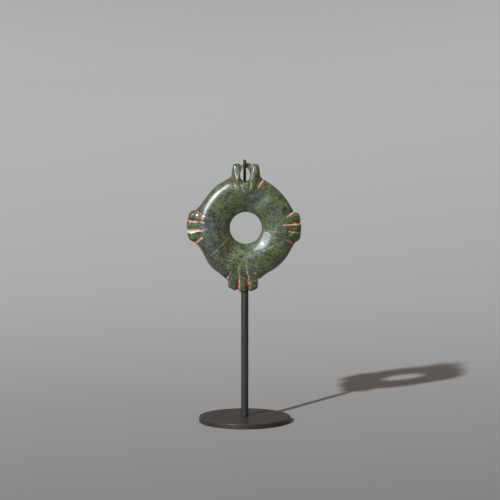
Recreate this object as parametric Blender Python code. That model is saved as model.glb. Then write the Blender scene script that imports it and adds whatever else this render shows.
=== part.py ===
"""A carved greenstone parrot leg ring, upright on a small black display stand.

Four pieces: the ring, the stand's round foot, its post and the wire hook that passes through the
ring's cord hole. Metres, +Z up. The origin is the centre of the foot's underside, on the post's axis.
The ring's carved front faces -Y. Angles on the ring are in degrees, counted from +X towards +Z about
the middle of the leg hole.
"""

import math
from collections import namedtuple

import bmesh
import bpy
import numpy as np
from mathutils import Vector

MM = 0.001

# Stand
FOOT_DIAMETER = 40.0 * MM
FOOT_THICKNESS = 2.2 * MM
FOOT_CHAMFER = 0.25 * MM
POST_DIAMETER = 3.2 * MM
POST_LENGTH = 54.2 * MM
POST_CHAMFER = 0.2 * MM
WIRE_DIAMETER = 1.25 * MM
BRAZED_LENGTH = 9.0 * MM            # how far the wire runs down behind the post
BRAZED_ASIDE = 1.0 * MM             # and how far right of the post's axis
HOOK_TIP_ABOVE_LUG = 1.65 * MM      # the cut end that stands up in front of the ring
HOOK_BEND = 1.9 * MM                # radius of the wire's middle line in the hook's two bends
TOUCH_GAP = 0.3 * MM                # left between pieces that touch

# Ring
BODY_RADIUS = 21.85 * MM            # the round band, without its lugs
LEG_HOLE_DIAMETER = 13.9 * MM
RING_THICKNESS = 8.8 * MM           # at the crest of the band, on its thick side
LEG_HOLE_WALL = 1.9 * MM            # thickness left at the leg hole
RIM_WALL = 1.6 * MM                 # thickness left at the outer rim, between the lugs
LUG_THICKNESS = 5.0 * MM            # at the foot of a lug
LUG_BLEND = 0.5 * MM                # softness of the join between the dome and a lug's face
RIM_ROUNDING = 1.4 * MM
LEG_HOLE_ROUNDING = 0.5 * MM
CORD_HOLE_WIDTH = 4.3 * MM
CORD_HOLE_HEIGHT = 6.1 * MM
CORD_BRIDGE = 1.85 * MM             # stone between the cord hole and the top lug's tip
CORD_HOLE_WEAR = 0.8 * MM           # width of the worn slope round the cord hole
GROOVE_WIDTH = 1.6 * MM
GROOVE_DEPTH = 0.85 * MM
NOTCH_DEPTH = 1.0 * MM              # how far a groove cuts into the outline
NOTCH_WIDTH = 2.6 * MM
RING_SHIFT = 0.5 * MM               # the leg hole stands this far to the right of the post
CORD_HOLE_SHIFT = -0.3 * MM         # the cord hole lies this far to the left of the leg hole

# Proportions of the carving
THICK_SIDE = 224.0                  # the angle at which the hand-made band is thickest
UNEVENNESS = 0.10                   # and by how much it swells there and thins opposite
CREST = 0.56                        # where the band is thickest, from leg hole to rim
INNER_CURVE = 2.0                   # how the band falls from its crest to the leg hole
OUTER_CURVE = 3.0                   # and from its crest to the outer rim
LUG_START = 0.35                    # share of the way to the rim over which the lugs' faces begin
CORD_HOLE_TAPER = 0.13              # the cord hole narrows upwards by this share
WORN_SHARE = 0.42                   # how much of the face is worn away at the cord hole's edge
BACK_CARVING = 0.75                 # depth of the back's grooves, as a share of the front's
RIDGE_POWER = 1.5                   # above 1, the ridges between grooves are rounded
GROOVE_TAPER = 0.55                 # a groove narrows inwards by this share
LEAST_STONE = 0.25                  # share of the height that a groove always leaves
SKIRT = 0.045                       # how far the body swells out at the foot of a lug's side
SKIRT_SPAN = 14.0                   # and over how many degrees

# The wire's route behind the ring
ROUTE_TURN = 0.30                   # share of the stretch over which it swings to the crest
ARCH_ALLOWANCE = 0.1                # the cord hole's top is an arch, so the wire passes lower

# The rounded body isn't quite a circle: its radius, as a share, at some angles
BODY_OUTLINE = (
    (0, 0.986), (40, 0.988), (90, 1.041), (120, 1.026), (144, 0.997), (180, 1.035),
    (209, 0.995), (232, 1.047), (262, 1.088), (300, 1.002), (330, 1.000),
)

# A lug runs from one angle to another. Its sides slope over `flank` degrees, it reaches out to a
# share of the body's radius, and its tip falls by `crown` towards its sides. `tip` is the share of
# its thickness that is left at its tip. A groove starts at the rim at one angle and runs in to
# another angle and share of the radius. Its width, depth and notch are shares of the sizes above.
Lug = namedtuple("Lug", "start end flank reach crown tip grooves")
Groove = namedtuple("Groove", "rim end inner width depth notch")

RIGHT_LUG = Lug(-14.0, 16.8, 7.0, 1.104, 0.005, 0.65, (
    Groove(19.4, 15.5, 0.80, 0.85, 0.85, 0.45),
    Groove(5.7, 6.0, 0.68, 0.80, 1.00, 0.50),
    Groove(-3.3, -3.9, 0.80, 0.80, 1.00, 0.20),
    Groove(-17.2, -14.0, 0.78, 0.90, 0.85, 0.15),
))
TOP_LUG = Lug(76.5, 103.4, 6.4, 1.298, 0.005, 0.42, (
    Groove(106.8, 104.0, 0.84, 0.80, 0.80, 0.05),
    Groove(94.0, 93.6, 0.72, 0.85, 0.80, 1.20),
    Groove(84.7, 83.5, 0.78, 0.90, 1.00, 0.60),
    Groove(71.0, 74.4, 0.81, 1.00, 0.85, 0.05),
))
LEFT_LUG = Lug(160.9, 194.6, 10.0, 1.178, 0.030, 0.65, (
    Groove(160.1, 163.2, 0.79, 0.95, 0.80, 0.80),
    Groove(171.4, 170.5, 0.76, 1.00, 1.00, 0.10),
    Groove(182.5, 181.0, 0.75, 1.30, 1.15, 0.45),
    Groove(195.4, 189.5, 0.83, 1.10, 0.85, 0.60),
))
BOTTOM_LUG = Lug(252.2, 282.4, 3.4, 1.294, 0.072, 0.65, (
    Groove(248.7, 252.0, 0.83, 0.85, 0.85, 0.10),
    Groove(262.5, 261.2, 0.80, 1.20, 1.10, 1.20),
    Groove(272.1, 271.7, 0.74, 1.30, 1.10, 1.05),
    Groove(283.3, 280.8, 0.86, 0.85, 0.80, 0.75),
))
LUGS = (RIGHT_LUG, TOP_LUG, LEFT_LUG, BOTTOM_LUG)

# How finely the ring is first shaped, and the share of its faces that is kept
RAYS = 300
BAND_STEPS = 16
ROUNDING_STEPS = 4
LUG_CROWDING = 4.0                  # rays stand closer together at the lugs
KEPT_FACES = 0.26
NEIGHBOUR_RAYS = 30                 # how far round the nearest point of the outline is looked for

FINE_ANGLES = 7201                  # where the rays' spacing is worked out

FOOT_SIDES = 96
POST_SIDES = 32
WIRE_POINT_SPACING = 1.7 * MM
ROUTE_STATIONS = 18                 # behind the ring
BEND_STEPS = 4
ACROSS_WIRE = 5                     # places across the wire where the ring's back is measured
CORD_HOLE_SIDES = 40

STONE = ("greenstone", (0.10, 0.15, 0.07), 0.22, 0.0)
BLACK_METAL = ("satin black metal", (0.02, 0.02, 0.02), 0.45, 0.6)

# Places that follow from the sizes above
POST_TOP = FOOT_THICKNESS + TOUCH_GAP + POST_LENGTH
RING_CENTRE = Vector((RING_SHIFT, 0.0, POST_TOP + TOUCH_GAP + BODY_RADIUS * BOTTOM_LUG.reach))
LEG_HOLE_RADIUS = LEG_HOLE_DIAMETER / 2
CREST_RADIUS = LEG_HOLE_RADIUS + (BODY_RADIUS - LEG_HOLE_RADIUS) * CREST
CORD_HOLE_TOP = BODY_RADIUS * TOP_LUG.reach - CORD_BRIDGE
CORD_HOLE_MIDDLE = CORD_HOLE_TOP - CORD_HOLE_HEIGHT / 2


def eased(share):
    """A smooth step from 0 to 1 as the share goes from 0 to 1."""
    share = np.clip(share, 0.0, 1.0)
    return share * share * (3.0 - 2.0 * share)


def angle_between(angle, other):
    """The signed difference of two angles, from -180 to 180 degrees."""
    return (angle - other + 180.0) % 360.0 - 180.0


def body_radius(angle):
    """Radius of the round body, eased from one stated angle to the next."""
    stations = np.array(BODY_OUTLINE)
    angles = np.append(stations[:, 0], 360.0)
    shares = np.append(stations[:, 1], stations[0, 1])
    angle = np.asarray(angle) % 360.0
    after = np.searchsorted(angles, angle, side="right").clip(1, len(angles) - 1)
    before = after - 1
    blend = eased((angle - angles[before]) / (angles[after] - angles[before]))
    return BODY_RADIUS * (shares[before] + (shares[after] - shares[before]) * blend)


def degrees_past(angle, lug):
    """How far an angle lies outside the lug's sides. It is negative on the lug."""
    middle = (lug.start + lug.end) / 2
    return np.abs(angle_between(angle, middle)) - (lug.end - lug.start) / 2


def lug_share(angle, lug):
    """1 on the lug, 0 away from it, and a smooth slope on its two sides."""
    return 1.0 - eased(degrees_past(angle, lug) / lug.flank + 0.5)


def lug_radius(angle, lug):
    """How far out the lug's tip reaches at an angle."""
    half_span = (lug.end - lug.start) / 2
    from_middle = 1.0 + degrees_past(angle, lug) / half_span
    return BODY_RADIUS * (lug.reach - lug.crown * np.clip(from_middle, 0.0, 1.0) ** 2)


def outline_radius(angle):
    """The ring's outline: the body, its four lugs and the notches at their grooves' ends."""
    radius = body_radius(angle)
    for lug in LUGS:
        skirt = np.clip(1.0 - degrees_past(angle, lug) / SKIRT_SPAN, 0.0, 1.0) ** 2
        radius = radius + SKIRT * BODY_RADIUS * skirt
    for lug in LUGS:
        radius = radius + (lug_radius(angle, lug) - radius) * lug_share(angle, lug)
    half_angle = math.degrees(NOTCH_WIDTH / 2 / BODY_RADIUS)
    for lug in LUGS:
        for groove in lug.grooves:
            near = 1.0 - np.abs(angle_between(angle, groove.rim)) / half_angle
            radius = radius - NOTCH_DEPTH * groove.notch * np.clip(near, 0.0, 1.0) ** 2
    return radius


def on_ring(radius, angle):
    """Place in the ring's plane, measured from the middle of the leg hole."""
    turn = np.radians(angle)
    return radius * np.cos(turn), radius * np.sin(turn)


def rounding(distance, radius):
    """Share of the full thickness at a distance from a rounded edge."""
    inward = np.clip(distance / radius, 0.0, 1.0)
    return np.sqrt(1.0 - (1.0 - inward) ** 2)


def distance_to_outline(x, z):
    """Distance of each point of the grid of rays from the outline, which is the grid's last column."""
    nearest = np.full(x.shape, np.inf)
    rim_x, rim_z = x[:, -1], z[:, -1]
    for turn in range(-NEIGHBOUR_RAYS, NEIGHBOUR_RAYS):
        start_x, start_z = np.roll(rim_x, -turn)[:, None], np.roll(rim_z, -turn)[:, None]
        edge_x = np.roll(rim_x, -turn - 1)[:, None] - start_x
        edge_z = np.roll(rim_z, -turn - 1)[:, None] - start_z
        along = ((x - start_x) * edge_x + (z - start_z) * edge_z) / (edge_x ** 2 + edge_z ** 2)
        along = np.clip(along, 0.0, 1.0)
        gap = np.hypot(x - start_x - along * edge_x, z - start_z - along * edge_z)
        nearest = np.minimum(nearest, gap)
    return nearest


def lug_height(radius, angle):
    """Half the thickness of the lugs, which taper to their tips, and of the thin rim between them."""
    height = RIM_WALL / 2
    for lug in LUGS:
        outward = np.clip((radius / BODY_RADIUS - 1.0) / (lug.reach - 1.0), 0.0, 1.0)
        on_lug = LUG_THICKNESS / 2 * (1.0 - (1.0 - lug.tip) * outward)
        height = height + (on_lug - RIM_WALL / 2) * lug_share(angle, lug)
    return height


def band_height(radius, angle):
    """Half the thickness of the domed band, with its lugs but without its carving."""
    swelling = 1.0 + UNEVENNESS * np.cos(np.radians(angle - THICK_SIDE))
    crest_height = RING_THICKNESS / 2 * swelling / (1.0 + UNEVENNESS)
    inner = np.clip((CREST_RADIUS - radius) / (CREST_RADIUS - LEG_HOLE_RADIUS), 0.0, 1.0)
    outer = np.clip((radius - CREST_RADIUS) / (body_radius(angle) - CREST_RADIUS), 0.0, 1.0)
    dome = crest_height - (crest_height - LEG_HOLE_WALL / 2) * inner ** INNER_CURVE
    dome -= (crest_height - RIM_WALL / 2) * outer ** OUTER_CURVE
    with_lugs = LUG_BLEND * np.logaddexp(dome / LUG_BLEND, lug_height(radius, angle) / LUG_BLEND)
    return dome + (with_lugs - dome) * eased(outer / LUG_START)


def groove_cut(x, z):
    """Depth of the carved grooves on the front face."""
    deepest = np.zeros(x.shape)
    for lug in LUGS:
        for groove in lug.grooves:
            rim = outline_radius(np.array([float(groove.rim)]))[0]
            start_x, start_z = on_ring(rim, groove.rim)
            end_x, end_z = on_ring(groove.inner * BODY_RADIUS, groove.end)
            length = math.hypot(end_x - start_x, end_z - start_z)
            way_x, way_z = (end_x - start_x) / length, (end_z - start_z) / length
            along = ((x - start_x) * way_x + (z - start_z) * way_z) / length
            across = np.abs((x - start_x) * way_z - (z - start_z) * way_x)
            faded = 1.0 - eased(along)
            taper = 1.0 - GROOVE_TAPER * (1.0 - faded)
            half_width = groove.width * GROOVE_WIDTH / 2 * taper
            ridge = np.clip(1.0 - across / half_width, 0.0, 1.0) ** RIDGE_POWER
            deepest = np.maximum(deepest, groove.depth * GROOVE_DEPTH * faded * ridge)
    return deepest


def cord_hole_half_width(height):
    """Half the cord hole's width at a height above its middle, as the egg shape gives it."""
    level = np.clip(height / (CORD_HOLE_HEIGHT / 2), -1.0, 1.0)
    return CORD_HOLE_WIDTH / 2 * np.sqrt(1.0 - level ** 2) * (1.0 - CORD_HOLE_TAPER * level)


def cord_hole_wear(x, z):
    """Share of the face that is worn away round the cord hole."""
    from_middle_x = (x - CORD_HOLE_SHIFT) / (CORD_HOLE_WIDTH / 2)
    from_middle_z = (z - CORD_HOLE_MIDDLE) / (CORD_HOLE_HEIGHT / 2)
    outward = (np.hypot(from_middle_x, from_middle_z) - 1.0) * CORD_HOLE_WIDTH / 2
    return WORN_SHARE * (1.0 - eased(outward / CORD_HOLE_WEAR))


def material(name, color, roughness, metallic):
    made = bpy.data.materials.new(name)
    made.use_nodes = True
    shader = made.node_tree.nodes["Principled BSDF"]
    shader.inputs["Base Color"].default_value = (*color, 1.0)
    shader.inputs["Roughness"].default_value = roughness
    shader.inputs["Metallic"].default_value = metallic
    made.diffuse_color = (*color, 1.0)
    return made


def add_object(name, data, finish):
    """Link a new object that carries the mesh or curve and its material."""
    data.materials.append(finish)
    thing = bpy.data.objects.new(name, data)
    bpy.context.scene.collection.objects.link(thing)
    return thing


def closed_mesh(name, points, faces):
    mesh = bpy.data.meshes.new(name)
    mesh.from_pydata([tuple(point) for point in points], [], faces)
    work = bmesh.new()
    work.from_mesh(mesh)
    bmesh.ops.recalc_face_normals(work, faces=work.faces)
    work.to_mesh(mesh)
    work.free()
    return mesh


def turned_mesh(name, profile, sides):
    """Turn a profile of (radius, height) pairs, top to bottom, into a closed round solid."""
    points, faces = [], []
    for radius, height in profile:
        for side in range(sides):
            turn = 2 * math.pi * side / sides
            points.append((radius * math.cos(turn), radius * math.sin(turn), height))
    for row in range(len(profile) - 1):
        for side in range(sides):
            beside = (side + 1) % sides
            faces.append((row * sides + side, row * sides + beside,
                          (row + 1) * sides + beside, (row + 1) * sides + side))
    faces.append(tuple(range(sides)))
    last_row = (len(profile) - 1) * sides
    faces.append(tuple(range(last_row, last_row + sides)))
    return closed_mesh(name, points, faces)


def build_foot(finish):
    radius = FOOT_DIAMETER / 2
    profile = (
        (radius - FOOT_CHAMFER, FOOT_THICKNESS),
        (radius, FOOT_THICKNESS - FOOT_CHAMFER),
        (radius, FOOT_CHAMFER),
        (radius - FOOT_CHAMFER, 0.0),
    )
    add_object("stand_foot", turned_mesh("stand_foot", profile, FOOT_SIDES), finish)


def build_post(finish):
    radius = POST_DIAMETER / 2
    profile = (
        (radius - POST_CHAMFER, POST_TOP),
        (radius, POST_TOP - POST_CHAMFER),
        (radius, FOOT_THICKNESS + TOUCH_GAP),
    )
    add_object("stand_post", turned_mesh("stand_post", profile, POST_SIDES), finish)


def ray_angles():
    """Angles of the rays round the ring, closer together at the lugs."""
    fine = np.linspace(0.0, 360.0, FINE_ANGLES)
    crowd = 1.0 + (LUG_CROWDING - 1.0) * sum(
        lug_share(fine, lug._replace(start=lug.start - lug.flank, end=lug.end + lug.flank))
        for lug in LUGS)
    spent = np.concatenate(([0.0], np.cumsum((crowd[1:] + crowd[:-1]) / 2)))
    return np.interp(np.arange(RAYS) / RAYS * spent[-1], spent, fine)


def ring_grid():
    """Points of the front face on rays from the leg hole to the outline, with their half thickness."""
    rim_angle = ray_angles()[:, None]
    rim = outline_radius(rim_angle)
    bend = 1.0 - np.cos(np.linspace(0.0, math.pi / 2, ROUNDING_STEPS + 1))
    hole_part = LEG_HOLE_RADIUS + LEG_HOLE_ROUNDING * bend + 0.0 * rim_angle
    rim_part = rim - RIM_ROUNDING * bend[::-1]
    steps = np.linspace(0.0, 1.0, BAND_STEPS + 1)[1:-1]
    band_part = hole_part[:, -1:] + (rim_part[:, :1] - hole_part[:, -1:]) * steps
    radius = np.hstack([hole_part, band_part, rim_part])
    even_angle = np.arange(RAYS)[:, None] * 360.0 / RAYS
    crowded = eased((radius - LEG_HOLE_RADIUS) / (CREST_RADIUS - LEG_HOLE_RADIUS))
    angle = even_angle + (rim_angle - even_angle) * crowded
    x, z = on_ring(radius, angle)
    edge = rounding(distance_to_outline(x, z), RIM_ROUNDING)
    edge *= rounding(radius - LEG_HOLE_RADIUS, LEG_HOLE_ROUNDING)
    height = band_height(radius, angle) * (1.0 - cord_hole_wear(x, z))
    cut = groove_cut(x, z)
    front = np.maximum(height - cut, height * LEAST_STONE) * edge
    back = np.maximum(height - cut * BACK_CARVING, height * LEAST_STONE) * edge
    return x, z, front, back


def build_ring_mesh():
    """Join the two faces of the rays' grid at the leg hole and at the outline."""
    x, z, front, back = ring_grid()
    rays, columns = x.shape
    loop = 2 * (columns - 1)
    points = []
    for ray in range(rays):
        for column in range(columns):
            points.append((x[ray, column], -front[ray, column], z[ray, column]))
        for column in range(columns - 2, 0, -1):
            points.append((x[ray, column], back[ray, column], z[ray, column]))
    faces = []
    for ray in range(rays):
        beside = (ray + 1) % rays
        for step in range(loop):
            after = (step + 1) % loop
            faces.append((ray * loop + step, ray * loop + after,
                          beside * loop + after, beside * loop + step))
    return closed_mesh("parrot_leg_ring", points, faces)


def build_cord_cutter():
    """An egg-shaped bar, longer than the lug is thick."""
    depth = RING_THICKNESS
    points, faces = [], []
    for side in range(CORD_HOLE_SIDES):
        turn = 2 * math.pi * side / CORD_HOLE_SIDES
        height = CORD_HOLE_HEIGHT / 2 * math.sin(turn)
        width = math.copysign(cord_hole_half_width(height), math.cos(turn))
        for y in (-depth, depth):
            points.append((CORD_HOLE_SHIFT + width, y, CORD_HOLE_MIDDLE + height))
    for side in range(CORD_HOLE_SIDES):
        beside = (side + 1) % CORD_HOLE_SIDES
        faces.append((2 * side, 2 * side + 1, 2 * beside + 1, 2 * beside))
    faces.append(tuple(range(0, 2 * CORD_HOLE_SIDES, 2)))
    faces.append(tuple(range(1, 2 * CORD_HOLE_SIDES, 2)))
    cutter = bpy.data.objects.new("cord_hole_cutter", closed_mesh("cord_hole_cutter", points, faces))
    bpy.context.scene.collection.objects.link(cutter)
    cutter.location = RING_CENTRE
    cutter.hide_render = True
    cutter.display_type = "WIRE"
    return cutter


def build_ring(finish):
    ring = add_object("parrot_leg_ring", build_ring_mesh(), finish)
    ring.location = RING_CENTRE
    fewer = ring.modifiers.new("fewer faces", "DECIMATE")
    fewer.decimate_type = "COLLAPSE"
    fewer.ratio = KEPT_FACES
    fewer.use_collapse_triangulate = True
    pierce = ring.modifiers.new("cord hole", "BOOLEAN")
    pierce.operation = "DIFFERENCE"
    pierce.solver = "EXACT"
    pierce.object = build_cord_cutter()


def bend_points(centre, start_degrees, end_degrees):
    """Points of a bend in the plane x = 0, given the middle of the bend as (y, z)."""
    points = []
    for step in range(BEND_STEPS + 1):
        turn = math.radians(start_degrees + (end_degrees - start_degrees) * step / BEND_STEPS)
        points.append(Vector((0.0, centre[0] + HOOK_BEND * math.cos(turn),
                              centre[1] + HOOK_BEND * math.sin(turn))))
    return points


def behind_ring(radius, angle):
    """How far back the wire's middle line stays clear of the ring."""
    reach = WIRE_DIAMETER / 2 + TOUCH_GAP
    beside = np.linspace(radius - reach, radius + reach, ACROSS_WIRE)
    return float(band_height(beside, angle).max()) + reach


def route_behind_ring(foot_radius, head_radius):
    """The stretch that leaves the lowest lug, goes round the leg hole and comes up to the cord hole."""
    foot_angle = 270.0 + math.degrees((BRAZED_ASIDE - RING_CENTRE.x) / foot_radius)
    head_angle = 450.0 + math.degrees(RING_CENTRE.x / head_radius)
    stretch = []
    for station in range(ROUTE_STATIONS + 1):
        share = station / ROUTE_STATIONS
        angle = foot_angle + (head_angle - foot_angle) * float(eased(share))
        leaving = max(0.0, 1.0 - share / ROUTE_TURN) ** 2
        arriving = max(0.0, 1.0 - (1.0 - share) / ROUTE_TURN) ** 2
        radius = CREST_RADIUS + (foot_radius - CREST_RADIUS) * leaving
        radius += (head_radius - CREST_RADIUS) * arriving
        x, z = on_ring(radius, angle)
        stretch.append(Vector((RING_CENTRE.x + x, behind_ring(radius, angle), RING_CENTRE.z + z)))
    return stretch


def hook_route():
    """The wire's middle line: up behind the post, round the leg hole behind the ring, then forward
    through the cord hole and up in front of the top lug."""
    reach = WIRE_DIAMETER / 2 + TOUCH_GAP
    behind_post = math.sqrt((POST_DIAMETER / 2 + reach) ** 2 - BRAZED_ASIDE ** 2)
    behind_foot = behind_ring(BODY_RADIUS, 270.0)
    route = [
        Vector((BRAZED_ASIDE, behind_post, POST_TOP - BRAZED_LENGTH)),
        Vector((BRAZED_ASIDE, behind_post, POST_TOP - BRAZED_LENGTH / 2)),
        Vector((BRAZED_ASIDE, max(behind_post, behind_foot), POST_TOP + WIRE_DIAMETER)),
    ]
    hole_foot = CORD_HOLE_MIDDLE - CORD_HOLE_HEIGHT / 2
    route += route_behind_ring(BODY_RADIUS, hole_foot)
    behind_hole = behind_ring(CORD_HOLE_MIDDLE, 90.0)
    before_bridge = behind_ring(CORD_HOLE_TOP, 90.0)
    under_bridge = RING_CENTRE.z + CORD_HOLE_TOP - reach - ARCH_ALLOWANCE * WIRE_DIAMETER
    route += bend_points((behind_hole - HOOK_BEND, under_bridge - HOOK_BEND), 0.0, 90.0)
    route += bend_points((-before_bridge + HOOK_BEND, under_bridge + HOOK_BEND), -90.0, -180.0)
    lug_tip = RING_CENTRE.z + BODY_RADIUS * TOP_LUG.reach
    route.append(Vector((0.0, -before_bridge, lug_tip + HOOK_TIP_ABOVE_LUG)))
    return route


def smooth_route(route):
    """Points along a smooth curve through the route's own points, about evenly spaced."""
    points = []
    ends = [2 * route[0] - route[1]] + route + [2 * route[-1] - route[-2]]
    for before, start, end, after in zip(ends, ends[1:], ends[2:], ends[3:]):
        span = (end - start).length
        leave = (end - before) * (span / ((end - start).length + (start - before).length))
        arrive = (after - start) * (span / ((after - end).length + (end - start).length))
        steps = max(1, round(span / WIRE_POINT_SPACING))
        for step in range(steps):
            t = step / steps
            points.append(start * (2 * t ** 3 - 3 * t ** 2 + 1) + leave * (t ** 3 - 2 * t ** 2 + t)
                          + end * (3 * t ** 2 - 2 * t ** 3) + arrive * (t ** 3 - t ** 2))
    points.append(route[-1])
    return points


def build_hook(finish):
    curve = bpy.data.curves.new("stand_hook", "CURVE")
    curve.dimensions = "3D"
    curve.bevel_depth = WIRE_DIAMETER / 2
    curve.bevel_resolution = 2
    curve.use_fill_caps = True
    points = smooth_route(hook_route())
    spline = curve.splines.new("POLY")
    spline.points.add(len(points) - 1)
    for place, point in zip(spline.points, points):
        place.co = (*point, 1.0)
    add_object("stand_hook", curve, finish)


def main():
    for thing in list(bpy.data.objects):
        bpy.data.objects.remove(thing)
    stone = material(*STONE)
    metal = material(*BLACK_METAL)
    build_foot(metal)
    build_post(metal)
    build_ring(stone)
    build_hook(metal)


main()
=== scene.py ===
"""The looks of a carved greenstone parrot leg ring on its small black display stand.

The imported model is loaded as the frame. The ring, the foot, the post and the wire hook are then made
again as fine meshes with their finishes, each in the place of its plain solid. Metres, +Z up, and the
ring's carved front faces -Y. Angles on the ring are in degrees, from +X towards +Z about the middle of
the leg hole.
"""

import math
from collections import namedtuple

import bpy
import numpy as np
from bpy.props import FloatProperty, FloatVectorProperty, PointerProperty
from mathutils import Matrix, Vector


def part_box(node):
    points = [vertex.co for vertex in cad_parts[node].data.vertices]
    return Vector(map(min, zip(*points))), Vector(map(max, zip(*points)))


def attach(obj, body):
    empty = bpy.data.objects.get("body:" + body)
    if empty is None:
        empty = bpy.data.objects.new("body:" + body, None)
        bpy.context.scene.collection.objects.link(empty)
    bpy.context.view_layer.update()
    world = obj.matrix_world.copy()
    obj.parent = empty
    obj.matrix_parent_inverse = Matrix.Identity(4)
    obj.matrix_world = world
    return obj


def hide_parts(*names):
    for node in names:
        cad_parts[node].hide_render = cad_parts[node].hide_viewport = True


bl_info = {
    "name": "Greenstone leg ring",
    "version": (1, 0, 0),
    "blender": (4, 5, 0),
    "location": "3D View > Sidebar > Leg Ring",
    "description": "Makes a carved greenstone parrot leg ring on its display stand",
    "category": "Add Mesh",
}

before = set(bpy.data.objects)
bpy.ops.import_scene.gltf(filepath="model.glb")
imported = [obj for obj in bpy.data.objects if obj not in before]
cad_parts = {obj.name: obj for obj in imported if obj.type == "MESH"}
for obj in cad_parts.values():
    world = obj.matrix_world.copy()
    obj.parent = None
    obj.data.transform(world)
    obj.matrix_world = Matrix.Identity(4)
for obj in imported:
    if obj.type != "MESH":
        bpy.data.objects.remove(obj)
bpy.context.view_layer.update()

MM = 0.001
BODY = "root"

FOOT_LOW, FOOT_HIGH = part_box("stand_foot")
POST_LOW, POST_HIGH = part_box("stand_post")
RING_LOW, RING_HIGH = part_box("parrot_leg_ring")
HOOK_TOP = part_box("stand_hook")[1].z
RING_MIDDLE = (RING_LOW + RING_HIGH) / 2
SOLID_GAP = POST_LOW.z - FOOT_HIGH.z     # left between solids that touch, and closed here

# The rounded body isn't quite a circle: its radius, as a share, at some angles
BODY_OUTLINE = (
    (0, 0.986), (40, 0.988), (90, 1.041), (120, 1.026), (144, 0.997), (180, 1.035),
    (209, 0.995), (232, 1.047), (262, 1.088), (300, 1.002), (330, 1.000),
)

# A lug runs from one angle to another. Its sides slope over `flank` degrees, it reaches out to a
# share of the body's radius, and its tip falls by `crown` towards its sides. `back` and `front` are
# the shares of its thickness at its foot and at its tip. A groove starts at the rim at one angle and
# runs in to another angle and share of the radius. Its width, depth and notch are shares of the
# ring's own sizes. Red earth is left in it: `paint` says how much, and its tone runs from
# `outer_tone` at the rim to `inner_tone`. A tone is -1 for cream, 0 for dusty pink, 1 for deep red
# and 1.8 or more for black brown.
Lug = namedtuple("Lug", "start end flank reach crown back front grooves")
Groove = namedtuple("Groove", "rim end inner width depth notch paint outer_tone inner_tone")

RIGHT_LUG = Lug(-14.0, 16.8, 7.0, 1.104, 0.005, (1.0, 0.65), (1.0, 0.65), (
    Groove(19.4, 15.5, 0.80, 0.95, 0.85, 0.45, 1.00, 0.6, 0.3),
    Groove(5.7, 6.0, 0.64, 1.05, 0.95, 0.50, 1.10, 0.7, 0.4),
    Groove(-3.3, -3.9, 0.78, 0.90, 0.95, 0.20, 0.95, 1.4, 0.5),
    Groove(-17.2, -14.0, 0.76, 1.00, 0.80, 0.15, 0.85, 1.3, 0.5),
))
TOP_LUG = Lug(76.5, 103.4, 6.4, 1.298, 0.005, (1.0, 0.42), (1.26, 0.30), (
    Groove(106.8, 104.0, 0.84, 0.80, 0.80, 0.05, 0.80, 1.4, 0.9),
    Groove(94.0, 93.6, 0.72, 0.85, 0.80, 1.20, 0.55, 0.9, -0.6),
    Groove(84.7, 83.5, 0.78, 0.90, 1.00, 0.60, 0.50, 0.2, -0.8),
    Groove(71.0, 74.4, 0.81, 1.00, 0.85, 0.05, 0.85, 0.7, 0.1),
))
LEFT_LUG = Lug(160.9, 194.6, 10.0, 1.178, 0.030, (1.0, 0.65), (1.0, 0.75), (
    Groove(160.1, 163.2, 0.79, 0.95, 0.80, 0.80, 0.62, 1.0, 0.3),
    Groove(171.4, 170.5, 0.76, 1.00, 1.00, 0.10, 0.75, 0.9, 0.5),
    Groove(182.5, 181.0, 0.75, 1.30, 1.15, 0.45, 0.95, -0.9, 0.6),
    Groove(195.4, 189.5, 0.83, 1.30, 0.85, 0.60, 1.15, 0.9, -0.2),
))
BOTTOM_LUG = Lug(252.2, 282.4, 3.4, 1.294, 0.072, (1.0, 0.65), (1.0, 0.65), (
    Groove(248.7, 252.0, 0.83, 0.85, 0.85, 0.10, 0.90, 0.8, -0.4),
    Groove(262.5, 261.2, 0.80, 1.20, 1.10, 1.20, 1.00, 1.0, 0.0),
    Groove(272.1, 271.7, 0.74, 1.30, 1.10, 1.05, 0.90, 1.5, -0.3),
    Groove(283.3, 280.8, 0.84, 1.20, 0.70, 0.75, 1.30, -0.1, -0.3),
))
LUGS = (RIGHT_LUG, TOP_LUG, LEFT_LUG, BOTTOM_LUG)

# Angles on the ring of its top and its foot
TOP_ANGLE = 90.0
FOOT_ANGLE = 270.0

# Proportions of the carving
THICK_SIDE = 224.0                  # the angle at which the hand-made band is thickest
UNEVENNESS = 0.10                   # and by how much it swells there and thins opposite
FRONT_CREST = 0.865                 # the front's mean height at the crest, as a share of the thickest
FRONT_LEAN = 0.065                  # how much the front falls away from the thick side
FUNNEL_LEAN = 0.05                  # and how much more it does so towards the leg hole
FRONT_EDGE = 1.030                  # share of the body's radius at which the front's dome ends
FRONT_HOLE_WALL = 0.75              # share of the leg hole's wall that is left on the front
LEAN_FADE = 4                       # the lean fades this steeply towards the leg hole and the rim
CREST = 0.56                        # where the band is thickest, from leg hole to rim
INNER_CURVE = 2.0                   # how the band falls from its crest to the leg hole
OUTER_CURVE = 3.0                   # and from its crest to the outer rim
LUG_START = 0.35                    # share of the way to the rim over which the lugs' faces begin
CORD_HOLE_TAPER = 0.13              # the cord hole narrows upwards by this share
BACK_CARVING = 0.75                 # depth of the back's grooves, as a share of the front's
RIDGE_POWER = 1.5                   # above 1, the ridges between grooves are rounded
GROOVE_TAPER = 0.70                 # a groove narrows inwards by this share
LEAST_STONE = 0.25                  # share of the height that a groove always leaves
SKIRT = 0.045                       # how far the body swells out at the foot of a lug's side
SKIRT_SPAN = 14.0                   # and over how many degrees
ROUNDED_REACH = 2.5                 # the ridges are rounded this many groove widths away
ROUNDED_SHARE = 0.30                # by this share of the groove's depth
PAINT_SPREAD = 3.0                  # above 1, the red earth reaches up a groove's sides
PAINT_REACH = 5.0                   # and in to its shallow end
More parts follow.
